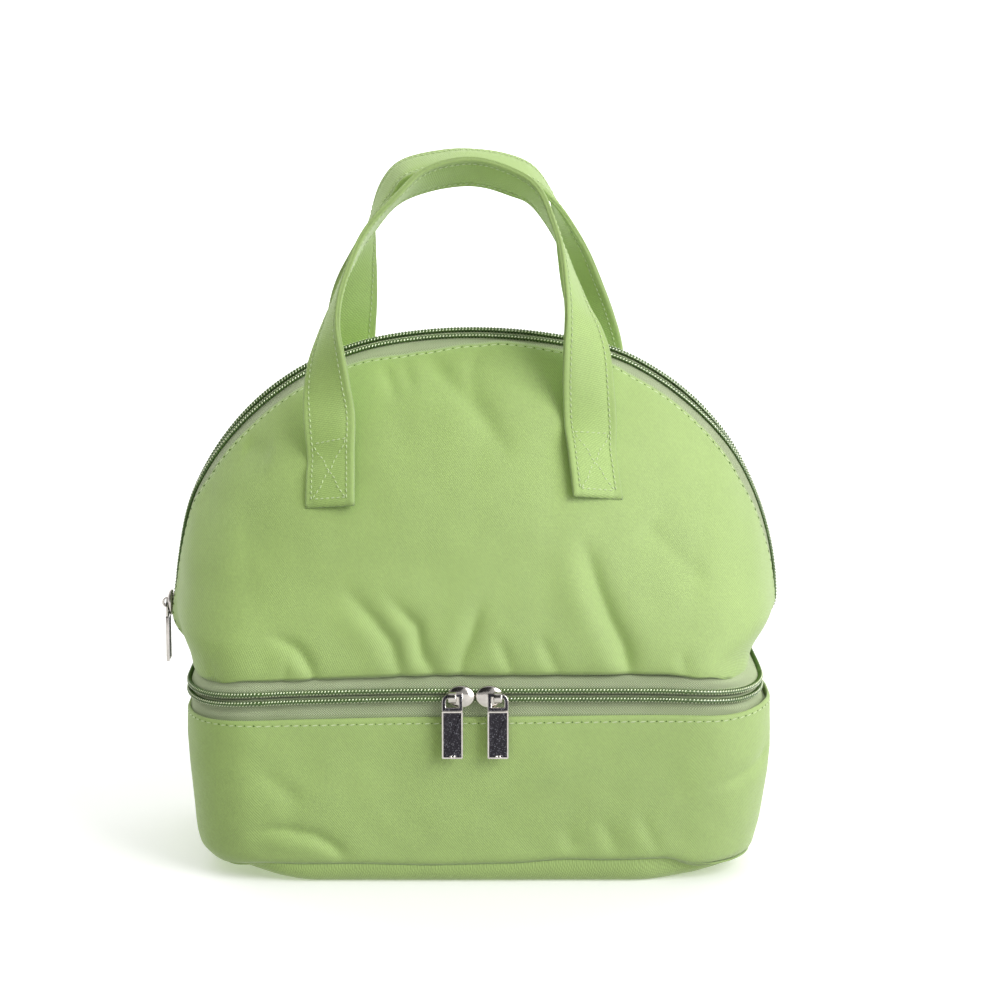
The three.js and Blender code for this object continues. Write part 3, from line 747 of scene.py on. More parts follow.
def panel_relief(side, along, up, length):
    """How far the cloth of a panel stands off its plain swell."""
    base, _ = panel_frame(side, along, up)
    from_seam = up * length
    from_hem = (1 - up) * length
    room = ease(14, 46, length)
    roll = rounding(from_seam / 7)
    height = -0.6 + (0.6 + 2.6 * room * (1 - ease(8, 48, from_seam))) * roll
    height += 0.9 * rounding(from_hem / 3) - 0.9
    height -= 0.45 * hump(from_hem - PANEL_STITCH_INSET, 0.8)
    folds, dents = (FRONT_FOLDS, FRONT_DENTS) if side < 0 else (REAR_FOLDS, REAR_DENTS)
    firm = lerp(0.3, 1, ease(0, 8, from_seam))
    for line, depth, width, puff, puff_width in folds:
        height += firm * crease(base.x, base.z, line, depth, width, puff, puff_width)
    for line, depth, width in dents:
        dent = crease(base.x, base.z, line, depth, width, start_fade=0.4, end_fade=0.12)
        height += dent * lerp(0.08, 1, ease(2, 12, from_hem))
    calm = clamp(from_seam / 16) * clamp(from_hem / 10) * room
    height += 0.9 * calm * rumple(base.x, 7 * side, base.z, 34)
    height += 0.35 * calm * rumple(base.x, 31 * side, base.z, 13)
    return height


def panel_point(side, along, up, depth=0.0):
    """Point of a panel's cloth at a depth under its outer face. side is -1 for the front."""
    along = clamp(along)
    up = clamp(up)
    here, length = panel_frame(side, along, up)

    def plain(u, v):
        return panel_frame(side, clamp(u), clamp(v))[0]

    outward = outward_of(plain, along, up, 0.004, 0.004)
    _, _, nx, ny = band((2 * along - 1) * PANEL_FOOT_RUN)
    _, _, arch_nx, arch_nz = arch(along)
    outward = outward.lerp(Vector((nx, ny, 0)), ease(0.12, 0, up)).normalized()
    at_hem = Vector((arch_nx * 0.6, -0.8, arch_nz * 0.6))
    outward = outward.lerp(at_hem, ease(0.88, 1, up)).normalized()
    point = here + outward * (panel_relief(side, along, up, length) - depth)
    # the filled cloth sags over its seam and hides the top of the tape
    overhang = OVERHANG - 2.7 * ease(-105, -5, point.x) - 0.9 * ease(0, 110, point.x)
    corner = 2.2 * ease(84, 100, point.x) + 4.6 * ease(104, 127, point.x)
    corner += 2.4 * ease(-98, -114, point.x)
    overhang += corner * ease(-18, -45, point.y)
    point.z -= overhang * ease(14, 1.5, up * length) * math.sqrt(clamp(up * length / 1.5))
    point.x -= corner_turn(point.x, point.z)
    return point if side < 0 else Vector((point.x, -point.y, point.z))


def panel_outward(side, along, up):
    """Outward direction of a panel's cloth."""
    return outward_of(lambda u, v: panel_point(side, u, v), along, up, 0.003, 0.003) * -side


def place_on_panel(side, x, z):
    """Shares (along, up) of the panel's plain swell that show at x and z."""
    along, up = 0.5, 0.5
    step = 0.001
    for _ in range(14):
        here, _ = panel_frame(side, along, up)
        by_along = (panel_frame(side, along + step, up)[0] - here) / step
        by_up = (panel_frame(side, along, up + step)[0] - here) / step
        area = by_along.x * by_up.z - by_up.x * by_along.z
        miss_x, miss_z = x - here.x, z - here.z
        along = clamp(along + (miss_x * by_up.z - by_up.x * miss_z) / area, 0.01, 0.98)
        up = clamp(up + (by_along.x * miss_z - miss_x * by_along.z) / area, 0.01, 0.98)
    return along, up


def panel_flat(side, along, up):
    """Flat measure of a panel's cloth, so that the weave runs level."""
    here, _ = panel_frame(side, along, up)
    return here.x * 1.06, here.z * 1.03 + 0.35 * here.y


# ---- The walls of the upper compartment ----

SIDE_LABEL = {-1: "front", 1: "rear"}

# Layers of a panel: name, node, look, depth of its outer face and of its rim, margin from the
# seam and hem, thickness, columns, rows, and fill where it is padded
PANEL_LAYERS = [
    ("cloth", "", SHELL, 0, 0, 0, 0.9, 230, 84, 0.5),
    ("foam_layer", "_foam", FOAM, 1.9, 1.9, 3.4, 2.2, 120, 44, 0.5),
    ("lining_film", "_lining", FOIL, 4.5, 1.4, 2.2, 0.3, 120, 44, None),
]


def panel_layer(side, layer):
    name, node, look, depth, rim, margin, thickness, columns, rows, fill = layer

    def place(u, v):
        along = lerp(margin / 400, 1 - margin / 400, u)
        _, length = panel_frame(side, along, 0.5)
        edge = min(0.45, margin / max(length, 1))
        near_rim = min(v, 1 - v) * length
        here = lerp(depth, rim, 1 - ease(0.0, 4.0, near_rim))
        return panel_point(side, along, lerp(edge, 1 - edge, v), here)

    label = SIDE_LABEL[side]
    return piece(
        f"{label}_panel_{name}", formed(columns, rows, place, lambda u, v: panel_flat(side, u, v)),
        look, None, f"{label}_panel{node}", thickness=thickness, turned=side > 0, fill=fill,
    )


def seam_spot(point, outward):
    """Place of a thread that lies a little proud of the cloth."""
    return point + outward * 0.15, outward


def panel_stitches(side):
    """Stitching along the hem of a panel."""
    hem = []
    for k in range(231):
        along = lerp(0.012, 0.988, k / 230)
        up = 1 - PANEL_STITCH_INSET / panel_frame(side, along, 0.5)[1]
        hem.append(seam_spot(panel_point(side, along, up), panel_outward(side, along, up)))
    return sewn(f"{SIDE_LABEL[side]}_panel_hem_stitches", [hem], HEM_STITCH_PITCH, None)


def arch_tape(side):
    """Half of the arch zip's tape, from under the chain to under the panel's hem."""
    name = f"arch_zip_{SIDE_LABEL[side]}_tape"

    def place(u, v):
        slope = tape_slope(side, arch(u)[0])
        depth = lerp(0.1, HEM_REACH + 2.6, v)
        share = clamp((depth - HALF_CHAIN) / (HEM_REACH - HALF_CHAIN), 0, 1.6)
        roll = chain_roll(arch(u)[0])
        under_chain = roll * (0.15 - side * 0.75 * min(depth, HALF_CHAIN))
        sink = lerp(under_chain, 0, clamp(share)) + (slope + 1.0) * clamp(share)**1.15
        sink += max(share - 1, 0) * (slope + 8)
        x, z, _, _ = arch(u, TAPE_INSET + sink)
        return Vector((x - corner_turn(x, z), side * depth + 0.75 * roll * ease(6, 1, depth), z))

    bm = formed(200, 10, place, lambda u, v: (2 * ARCH_HALF * u, 14 * v + (0 if side < 0 else 3)))
    return piece(f"{name}_weave", bm, TAPE, None, name, thickness=0.6, turned=side > 0)


TURN_PITCH = 1.5
TURN_LEAN = 0.58
WIRE_RADIUS = 0.36
CREST_REACH = 0.84


def coil_turn_stamp():
    """One turn of the zip's coil: a flattened ring across the zip, X along it and Z outward."""
    bm = bmesh.new()
    bmesh.ops.create_circle(bm, segments=5, radius=WIRE_RADIUS)
    bmesh.ops.rotate(bm, verts=bm.verts, matrix=Matrix.Rotation(math.pi / 2, 3, "X"))
    bmesh.ops.translate(bm, verts=bm.verts, vec=(1, 0, 0))
    bmesh.ops.spin(
        bm, geom=bm.verts[:] + bm.edges[:], axis=(0, 0, 1), cent=(0, 0, 0), angle=2 * math.pi,
        steps=10, use_merge=True,
    )
    for vert in bm.verts:
        core = Vector((vert.co.x, vert.co.y, 0)).normalized()
        rest = vert.co - core
        core.x *= COIL_WIDTH / 2 - WIRE_RADIUS
        # the outer side is pressed flat
        core.y = min(core.y, CREST_REACH) * (COIL_THICKNESS / 2 - WIRE_RADIUS) / CREST_REACH
        vert.co = core + rest
    stand = axes((0, 1, 0), (0, 0, 1), (1, 0, 0), (0, 0, 0))
    lean = Matrix.Identity(4)
    lean[0][1] = TURN_LEAN
    bmesh.ops.transform(bm, matrix=lean @ stand, verts=bm.verts)
    closed(bm)
    # faces on the crest of the outer side take the pale colour, a painted highlight where the turns
    # catch the light
    for face in bm.faces:
        middle = face.calc_center_median()
        if middle.z > 0.3 and face.normal.z > 0.35 and 0.3 < abs(middle.y) < 0.9:
            face.material_index = 1
    return kept("coil_turn", bm)


COIL_TURN = coil_turn_stamp()


def coil_piece(node, station, run, body):
    """Coil along station(distance) -> (centre, forward, outward), with the cord it is sewn over."""
    turns = int(run / TURN_PITCH)
    places = []
    for k in range(turns):
        centre, forward, outward = station((k + 0.5) * run / turns)
        places.append(standing(centre, forward, outward))
    bm = stamped((COIL_TURN, places))

    def core(u, v):
        centre, forward, outward = station(u * run)
        across = outward.cross(forward).normalized()
        angle = 2 * math.pi * v
        return centre + across * (1.0 * math.cos(angle)) + outward * (0.72 * math.sin(angle) - 0.05)

    add_to(bm, formed(int(run / 3), 6, core, lambda u, v: (run * u, 3 * v), is_loop=True))
    return piece(f"{node}_turns", bm, COIL, body, node, second=CREST_HIGHLIGHT)


def chain_roll(x):
    """How far the chain has rolled over to the front: fully over the crown, not at the sides."""
    return ease(138, 92, abs(x))


def chain_drop(side, x):
    """Its front row lies lower than its rear row."""
    return (1.4 if side < 0 else -1.0) * chain_roll(x)


def arch_coil(side):
    def station(distance):
        along = clamp(distance / (2 * ARCH_HALF), 0.0005, 0.9995)
        drop = chain_drop(side, arch(along)[0])
        depth = CHAIN_GAP / 2 + COIL_WIDTH / 2 - 0.35 * abs(drop)
        x, z, nx, nz = arch(along, COIL_THICKNESS / 2 + drop)
        outward = Vector((nx, -0.75 * chain_roll(x), nz)).normalized()
        forward = Vector((nz, 0, -nx)) * -side
        return Vector((x - corner_turn(x, z), side * depth, z)), forward, outward

    return coil_piece(f"arch_zip_{SIDE_LABEL[side]}_coil", station, 2 * ARCH_HALF, None)


for side in SIDE_LABEL:
    made = [panel_layer(side, layer) for layer in PANEL_LAYERS]
    for part in made + [panel_stitches(side), arch_tape(side), arch_coil(side)]:
        if side < 0:
            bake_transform(part)
        else:
            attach(part, "upper_compartment")


# ---- Lower compartment ----

# Folds of the wall: line of (distance round the band, height) from the faint end
WALL_FOLDS = [
    ([(-106, 22), (-92, 25.5), (-81, 25.2), (-70, 23), (-62, 18.5), (-55, 10)], 2.4, 3.2, 1.8, 6.0),
    ([(-98, 54), (-90, 48), (-80, 41)], 1.1, 6.0, 0.0, 5.0),
    ([(100, 43), (108, 45.5), (118, 48.5), (137, 54)], 1.4, 3.6, 0.8, 5.0),
    ([(72, 38), (76, 28), (83, 12)], 1.0, 3.2, 0.9, 4.0),
    ([(55, 34), (60, 24), (64, 11)], 0.9, 3.2, 0.8, 4.0),
    ([(40, 30), (43, 20), (46, 10)], 0.7, 3.2, 0.5, 4.0),
    ([(-184, 40), (-190, 26), (-194, 10)], 1.6, 4.0, 1.0, 5.0),
    ([(186, 44), (194, 28), (198, 10)], 1.6, 4.0, 1.0, 5.0),
    ([(250, 46), (262, 30), (268, 10)], 1.8, 4.0, 1.2, 5.0),
    ([(-256, 44), (-264, 28), (-272, 10)], 1.8, 4.0, 1.2, 5.0),
    ([(330, 30), (322, 20), (318, 10)], 1.2, 3.6, 0.8, 4.0),
    ([(-336, 34), (-330, 22), (-322, 10)], 1.2, 3.6, 0.8, 4.0),
]


def bottom_seam(distance):
    """Height of the bottom seam, a little uneven."""
    run = wrapped(distance)
    uneven = 0.9 * rumple(run, 3, 0, 40) * ease(HALF_BAND, HALF_BAND - 24, abs(run))
    height = BOTTOM_SEAM + uneven
    if run < 0:
        return height - 1.2 * hump(run + 122, 14) - 2.8 * corner_roll(run)
    height += 2.5 * ease(15, 45, run) * ease(100, 84, run)
    return height - ease(84, 100, run) * ease(190, 150, run)


def hem_rise(distance):
    """How far the hem of the wall stands up at the front right corner."""
    run = wrapped(distance)
    rise = 1.3 * ease(-100, -10, run) + 0.9 * ease(0, 90, run)
    return ease(240, 200, run) * (rise + 2.6 * ease(104, 142, run) * ease(190, 160, run))


def corner_roll(distance):
    """How far the foot of the wall is rolled under, 1 at the front left corner."""
    run = wrapped(distance)
    if run < 0:
        return ease(-92, -112, run) * ease(-154, -116, run)
    return 0.15 * ease(92, 118, run) * ease(190, 152, run)


def wall_point(distance, height, depth=0.0):
    """Outer face of the lower compartment's wall."""
    share = clamp((height - BOTTOM_SEAM) / (LOWER_HEM - BOTTOM_SEAM))
    run = abs(wrapped(distance))
    low_draw = 8.6 if wrapped(distance) < 0 else 7.6
    draw = lerp(2.4, low_draw, flank_share(run)) * (1 - share) ** 2.6
    from_seam = height - bottom_seam(distance)
    from_hem = LOWER_HEM - height
    rolled = corner_roll(distance)
    draw += lerp(1.7, 8, rolled) * (1 - rounding(from_seam / lerp(4, 8, rolled)))
    draw += 0.5 * (1 - rounding(from_hem / 1.2))
    draw += 0.4 * hump(from_hem - WALL_STITCH_INSET, 0.7) - 0.5
    calm = clamp(from_seam / 8) * clamp(from_hem / 14)
    back = HALF_BAND - run
    swell = 0.8 * rumple(distance, 5, height, 36) + 0.3 * rumple(distance, 15, height, 12)
    swell = swell * ease(0, 24, back) - 0.5 * hump(back, 1.1)
    for fold in WALL_FOLDS:
        swell += crease(distance, height, *fold)
    point = on_band(distance, draw - swell * calm + depth, height)
    point.z += hem_rise(distance) * ease(45, LOWER_HEM, height)
    return point


def wall_outward(distance, height):
    return outward_of(wall_point, distance, height, 1, 0.5)


def wall_sheet(name, node, look, depth, low, high, thickness, columns, rows):
    """A padded layer of the lower compartment's wall."""

    def place(u, v):
        distance = round_band(u)
        foot = bottom_seam(distance) if low is None else low
        return wall_point(distance, lerp(foot, high, v), depth)

    bm = formed(columns, rows, place, lambda u, v: (BAND_LENGTH * u, 76 * v), is_loop=True)
    piece(name, bm, look, "base", node, thickness=thickness, fill=0.5)


wall_sheet("base_wall_cloth", "base_wall", SHELL, 0, None, LOWER_HEM, 0.9, 380, 40)
wall_sheet("base_wall_foam_layer", "base_wall_foam", FOAM, 1.9, 12, 73, 2.0, 190, 18)

hem_line = []
for k in range(481):
    place_of_hem = (round_band(k / 480), LOWER_HEM - WALL_STITCH_INSET)
    hem_line.append(seam_spot(wall_point(*place_of_hem), wall_outward(*place_of_hem)))
sewn("base_hem_stitches", [hem_line], HEM_STITCH_PITCH, "base")

PLATE_EDGE = 8.2


def plate(columns, profile, edge_wave=None):
    """Plate or tub over the band's plan. Each profile row is (draw, height, share inwards)."""
    last = len(profile) - 1

    def place(u, v):
        distance = round_band(u)
        row = v * last
        draw, height, inward = on_profile(profile, v)
        run = wrapped(distance)
        flank = flank_share(abs(run))
        if run < 0:
            tuck = 9.5 * ease(-84, -118, run) * ease(-190, -155, run)
        else:
            tuck = 4.0 * ease(70, 100, run) * ease(190, 155, run)
        if edge_wave:
            seam = PLATE_EDGE + edge_wave(distance)
            lift = min(corner_lift(distance), seam - 1.4) * ease(9.5, 6.0, row)
            above = max(height - PLATE_EDGE, 0)
            height = lerp(lift, seam, clamp(height / PLATE_EDGE)) + above
            draw += (5.6 if run < 0 else 3.0) * flank + tuck * ease(0.5, 3.0, row)
            draw += 6.3 * corner_roll(distance) * ease(3.0, 0.0, row)
        else:
            draw += (tuck + 3 * flank) * ease(16, 6, height)
        point = on_band(distance, draw, height)
        return Vector((point.x * (1 - inward), point.y * (1 - inward), height))

    def flat(u, v):
        point = place(u, v)
        return point.x, point.y

    return formed(columns, last * 2, place, flat, is_loop=True)


def seam_wave(distance):
    return bottom_seam(distance) - BOTTOM_SEAM


def corner_lift(distance):
    """How far the edge of the bottom is lifted off the floor at its corners."""
    along = wrapped(distance)
    run = abs(along)
    front = ease(76, 124, along) * 5.0 if along > 0 else ease(68, 112, run) * 5.4
    return front * ease(210, 140, run) + 2.6 * hump(run - 262, 24)


bottom = plate(
    300,
    [
        (4.6, 9.4, 0), (3.9, 9.2, 0), (3.7, 8.2, 0), (4.0, 6.4, 0), (4.8, 4.2, 0), (6.2, 2.0, 0),
        (8.0, 0.5, 0), (11.5, 0.0, 0), (22, 0.0, 0), (34, 0.0, 0.25), (34, 0.0, 0.6), (34, 0.0, 1),
    ],
    seam_wave,
)
piece("base_bottom_cloth", bottom, SHELL, "base", "base_bottom_panel", thickness=0.9, turned=True)

floor_foam = plate(120, [
    (25, 1.4, 1), (25, 1.4, 0.5), (25, 1.4, 0), (24.2, 2.0, 0), (24, 2.9, 0), (24.2, 3.8, 0),
    (25, 4.3, 0), (25, 4.3, 0.5), (25, 4.3, 1),
])
piece("base_floor_foam_plate", closed(floor_foam), FOAM, "base", "base_floor_foam", fill=0.8)

lining = plate(240, [
    (25, 4.9, 1), (25, 4.9, 0.6), (25, 4.8, 0.2), (25, 4.7, 0), (19, 5.2, 0), (15.5, 8.0, 0),
    (13.3, 12.5, 0), (10.2, 22, 0), (7.6, 36, 0), (6.4, 50, 0), (5.6, 63, 0), (5.0, 72, 0),
    (3.4, 75.0, 0), (2.3, 75.5, 0),
])
piece("base_lining_film", lining, FOIL, "base", "base_lining", thickness=0.3)

# Zip round the lower compartment

ZIP_RUN = FRONT_RUN + CORNER_RUN + SIDE_RUN / 2 + 34.0


def band_sheet(name, node, look, body, run, profile, thickness, columns, flat_height, back=False):
    """Strip round the front of the band, or round its back, through (draw, height) rows."""

    def place(u, v):
        distance = lerp(-run, run, u)
        if back:
            distance = wrapped(HALF_BAND - distance)
        return on_band(distance, *on_profile(profile, v))

    rows = 2 * (len(profile) - 1)
    bm = formed(columns, rows, place, lambda u, v: (2 * run * u, flat_height * v))
    return piece(name, bm, look, body, node, thickness=thickness, turned=back)


for label, body, profile, flat_height in (
    ("lower", "base", [
        (1.2, 73.5), (1.0, 77.0), (0.5, 80.5), (0.15, 83.2), (0.1, CHAIN_HEIGHT - 0.15),
    ], 12),
    ("upper", "upper_compartment", [
        (0.1, CHAIN_HEIGHT + 0.15), (0.15, 88.0), (0.3, 91.0), (0.9, 94.0), (2.4, 96.2),
    ], 10.4),
):
    name = f"lower_zip_{label}_tape"
    band_sheet(f"{name}_weave", name, TAPE, body, ZIP_RUN, profile, 0.6, 200, flat_height)


def band_coil(label, body, facing):
    height = CHAIN_HEIGHT - facing * (CHAIN_GAP / 2 + COIL_WIDTH / 2)

    def station(distance):
        stand_out = -(COIL_THICKNESS / 2 - 0.1)
        centre = on_band(distance - ZIP_RUN, stand_out, height)
        forward = on_band(distance - ZIP_RUN + 0.5, stand_out, height) - centre
        _, _, nx, ny = band(distance - ZIP_RUN)
        return centre, forward * facing, Vector((nx, ny, 0))

    return coil_piece(f"lower_zip_{label}_coil", station, 2 * ZIP_RUN, body)


band_coil("lower", "base", 1)
band_coil("upper", "upper_compartment", -1)

# Strip across the back

hinge_profile = [
    (0.9, 74.6), (0.5, 76.4), (0.0, 78.4), (-0.2, 82), (-0.2, 85.5), (0.6, 89), (2.0, 93),
    (2.6, 96.4),
]
hinge = band_sheet(
    "rear_hinge_cloth", "rear_hinge_strip", SHELL, None, HALF_BAND - ZIP_RUN - 0.3, hinge_profile,
    0.9, 120, 20, back=True,
)
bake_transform(hinge)

# Divider

divider_top = plate(200, [
    (3.0, 95.4, 0), (4.0, 96.0, 0), (10, 96.1, 0), (30, 95.9, 0.2), (30, 95.8, 0.6),
    (30, 95.8, 1),
])
divider_foam = plate(160, [
    (30, 91.2, 1), (30, 91.2, 0.4), (4.2, 91.2, 0), (3.0, 92.0, 0), (2.7, 93.2, 0), (3.0, 94.4, 0),
    (4.2, 95.1, 0), (30, 95.1, 0.4), (30, 95.1, 1),
])
divider_under = plate(200, [
    (2.6, 93.4, 0), (2.9, 91.2, 0), (4.0, 90.7, 0), (10, 90.6, 0), (30, 90.7, 0.2), (30, 90.7, 1),
])
for name, bm, look, node, how in (
    ("floor_film", divider_top, FOIL, "floor_lining", dict(thickness=0.3)),
    ("foam_plate", closed(divider_foam), FOAM, "foam", dict(fill=0.8)),
    ("underside_film", divider_under, FOIL, "underside_lining", dict(thickness=0.3, turned=True)),
):
    piece(f"divider_{name}", bm, look, "upper_compartment", f"divider_{node}", **how)

# Tabs under the feet of the arch

TAB_PROFILE = [(0, 125.3), (0.1, 126.5), (0.35, 126.6), (1, 125.2)]
for label, sign in (("left", -1), ("right", 1)):
    def tab_place(u, v):
        out = through(TAB_PROFILE, v) + (0 if sign > 0 else 2.0)
        out += 0.5 * math.sin(math.pi * v) * math.sin(math.pi * u)
        return Vector((sign * out, lerp(-22, 22, u), lerp(95.4, 103.4, v)))

    tab = formed(32, 10, tab_place, lambda u, v: (44 * u, 8 * v))
    name = f"{label}_zip_end_tab"
    piece(
        f"{name}_cloth", tab, SHELL, "upper_compartment", name, thickness=0.9, turned=sign < 0
    )


# ---- Handles ----

# Half of a strap's outline: across and outward
STRAP_SECTION = [
    (-11.75, 0.35), (-11.5, 0.95), (-10.9, 1.3), (-10.0, 1.34), (-8.5, 1.0), (-7.6, 1.22),
    (-4, 1.3), (0, 1.32), (4, 1.3), (7.6, 1.22), (8.5, 1.0), (10.0, 1.34), (10.9, 1.3),
    (11.5, 0.95), (11.75, 0.35), (11.35, 0.0),
]
STRAP_RING = STRAP_SECTION + [(-w, -o) for w, o in STRAP_SECTION]

# Middle of each strap over the panel, from its right end to its left: x, depth, z, turn in degrees
FRONT_STRAP = [
    (51.9, 38, 204, 6), (51.2, 34, 218, 14), (50.5, 31, 232, 28), (48.9, 28, 243, 45),
    (46.4, 24.5, 253, 60), (43.0, 18.5, 266, 71), (38.2, 13, 281, 79), (28.5, 7, 299, 86),
    (17.0, 3.5, 306.0, 89), (-1.4, 1.5, 310.5, 90), (-20.5, 3, 307.0, 76), (-34.2, 7, 298.5, 67),
    (-47.9, 12, 283, 76), (-56.6, 18, 266, 75), (-61.2, 23, 253, 73), (-64.0, 27, 241, 64),
    (-65.0, 31, 229, 45), (-64.8, 34.5, 217, 28), (-63.6, 38.5, 204, 13),
]
REAR_STRAP = [
    (58.6, 38.5, 203, 0), (58.8, 36, 215, 4), (57.6, 34, 228, 12), (54.2, 31, 242, 22),
    (50.4, 28.5, 256, 34), (46.6, 25, 270, 48), (42.0, 22, 284, 64), (35.6, 19, 298, 80),
    (22.8, 17, 310.3, 92), (-3.5, 16, 315.6, 92), (-29.5, 17, 311.0, 100), (-39.6, 19, 301, 103),
    (-47.0, 22, 287, 86), (-51.2, 25.5, 274, 64), (-54.2, 29, 261, 42), (-56.6, 32, 246, 20),
    (-58.2, 34, 229, 8), (-58.6, 36, 215, 2), (-58.6, 38.5, 203, 0),
]

# Of each strap: middle, lean of its apex in degrees, x of its right and left end, height of the
# ends, and how far the right end slants and both tilt
STRAPS = {
    -1: (FRONT_STRAP, 34, 54.6, -62.3, 169.5, 0.12, 0.05),
    1: (REAR_STRAP, 16, 58.6, -58.6, 167, 0.0, 0.0),
}


def strap_path(side):
    """Stations (middle, across, outward) of a strap, from the free end of its right end on."""
    table, apex_degrees, right_x, left_x, low, slant, tilt = STRAPS[side]
    apex_lean = math.radians(apex_degrees)
    apex_across = Vector((0, -side * math.cos(apex_lean), -math.sin(apex_lean)))
    loop = [Vector((x, side * depth, z)) for x, depth, z, _ in table]
    turns = [math.radians(turn) for _, _, _, turn in table]

    def sewn_end(x, z, leading, tilt):
        along, up = place_on_panel(side, x, z)
        outward = panel_outward(side, along, up)
        middle = panel_point(side, along, up) + outward * 1.5
        across = Matrix.Rotation(tilt, 3, outward) @ squared(Vector((leading, 0, 0)), outward)
        lifted = (outward + across * 0.16).normalized()
        return middle, squared(across, lifted), lifted

    def loop_station(k):
        before, after = loop[max(k - 1, 0)], loop[min(k + 1, len(loop) - 1)]
        forward = (after - before).normalized()
        leading = 1 if k < len(loop) / 2 else -1
        across = Vector((leading, 0, 0)) * math.cos(turns[k]) + apex_across * math.sin(turns[k])
        across = squared(across, forward)
        return loop[k], across, (forward.cross(across) * side).normalized()

    ends = [low + 7 * k for k in range(4)]
    stations = [sewn_end(right_x - slant * (z - low), z + 1, 1, tilt) for z in ends]
    stations += [loop_station(k) for k in range(len(loop))]
    stations += [sewn_end(left_x, z - 3, -1, -tilt) for z in reversed(ends)]
    return stations


def smooth_stations(stations, share):
    """Station at a share of the way along, on a smooth line through all of them."""
    at = clamp(share) * (len(stations) - 1)
    k = min(int(at), len(stations) - 2)
    t = at - k
    four = [stations[min(max(k + n, 0), len(stations) - 1)] for n in (-1, 0, 1, 2)]

    def spline(values):
        a, b, c, d = values
        bend, cubic = a * 2 - b * 5 + c * 4 - d, b * 3 - a - c * 3 + d
        return 0.5 * (b * 2 + (c - a) * t + bend * t**2 + cubic * t**3)

    middle, across, outward = (spline([s[n] for s in four]) for n in range(3))
    across = across.normalized()
    return middle, across, squared(outward, across)


def even_shares(stations, count):
    """Shares of the way along that lie an even distance apart."""
    fine = 600
    points = [smooth_stations(stations, k / fine)[0] for k in range(fine + 1)]
    lengths = [0.0]
    for a, b in zip(points, points[1:]):
        lengths.append(lengths[-1] + (b - a).length)
    shares = []
    k = 0
    for n in range(count + 1):
        goal = lengths[-1] * n / count
        while k < fine - 1 and lengths[k + 1] < goal:
            k += 1
        shares.append((k + (goal - lengths[k]) / max(lengths[k + 1] - lengths[k], 1e-6)) / fine)
    return shares, lengths[-1]


STRAP_STEPS = 200
STITCH_LINE = 8.5
BOX_LOW = 3.2
BOX_HIGH = 30.0

# Lines of the boxed cross on a strap's end: (distance from the end, across) of both ends
BOXED_CROSS = [
    ((BOX_LOW, -8.4), (BOX_LOW, 8.4)),
    ((BOX_HIGH, -8.4), (BOX_HIGH, 8.4)),
    ((BOX_LOW, -8.0), (BOX_HIGH, 8.0)),
    ((BOX_LOW, 8.0), (BOX_HIGH, -8.0)),
]


def strap(side):
    """Handle strap with its two sewn ends, and its stitching."""
    name = f"{SIDE_LABEL[side]}_handle"
    stations = strap_path(side)
    steps = STRAP_STEPS
    shares, length = even_shares(stations, steps)
    frames = [smooth_stations(stations, share) for share in shares]
    size = len(STRAP_RING)

    def surface(n, w, o):
        middle, across, outward = frames[n]
        end = min(n, steps - n) * length / steps
        squeeze = rounding(end / 1.6)
        sag = 0.35 * rumple(w * 2, n * length / steps, 9 * side, 14) * clamp(end / 20)
        return middle + across * w + outward * (o * lerp(0.35, 1, squeeze) + sag)

    def place(u, v):
        return surface(round(u * steps), *STRAP_RING[round(v * size) % size])

    bm = formed(steps, size, place, lambda u, v: (length * u, 50 * v), is_loop=True)
    bmesh.ops.holes_fill(bm, edges=bm.edges, sides=size)
    bmesh.ops.recalc_face_normals(bm, faces=bm.faces)
    cloth = piece(
        f"{name}_strap", bm, STRAP, None, name, f"{name}_left_end", f"{name}_right_end"
    )

    def thread(n, w, face):
        outward = frames[n][2]
        return surface(n, w, face * 1.15) + outward * (face * 0.2), outward * face

    lines = [
        [thread(n, w, face) for n in range(2, steps - 1)]
        for face in (1, -1) for w in (-STITCH_LINE, STITCH_LINE)
    ]
    for from_right in (True, False):
        for start, end in BOXED_CROSS:
            line = []
            for k in range(13):
                distance, w = (lerp(a, b, k / 12) for a, b in zip(start, end))
                n = round(distance / (length / steps))
                line.append(thread(n if from_right else steps - n, w, 1))
            lines.append(line)
    return cloth, sewn(f"{name}_stitches", lines, 2.6, None, width=0.62, holes=False)


HANDLES = {
    -1: ("front_flap", "front_handle_loop"),
    1: ("upper_compartment", "rear_handle_loop"),
}
for side, (sewn_to, loop_body) in HANDLES.items():
    for part in strap(side):
        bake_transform(part)


# ---- Sliders and pulls ----

SLIDER_LENGTH = 12.2
SLIDER_WIDTH = 10.2
OUTER_PLATE = 2.85
DOME_BASE = OUTER_PLATE + 0.9
BAR_HEIGHT = 5.4
BRIDGE_RADIUS = 2.15


def bevelled(bm, geom, width, segments=2, affect="EDGES"):
    bmesh.ops.bevel(
        bm, geom=geom, offset=width, offset_type="OFFSET", affect=affect, segments=segments,
        profile=0.5, material=-1,
    )


def block(bm, size, middle, bevel=0.0):
    """Box of a size about a middle, with its edges rounded."""
    known = set(bm.verts)
    place = Matrix.Translation(middle) @ Matrix.Diagonal((*size, 1))
    bmesh.ops.create_cube(bm, size=1, matrix=place)
    if bevel:
        bevelled(bm, [e for e in bm.edges if not set(e.verts) & known], bevel)


def sharp_edges(bm):
    return [e for e in bm.edges if e.calc_face_angle(0) > 1.0]


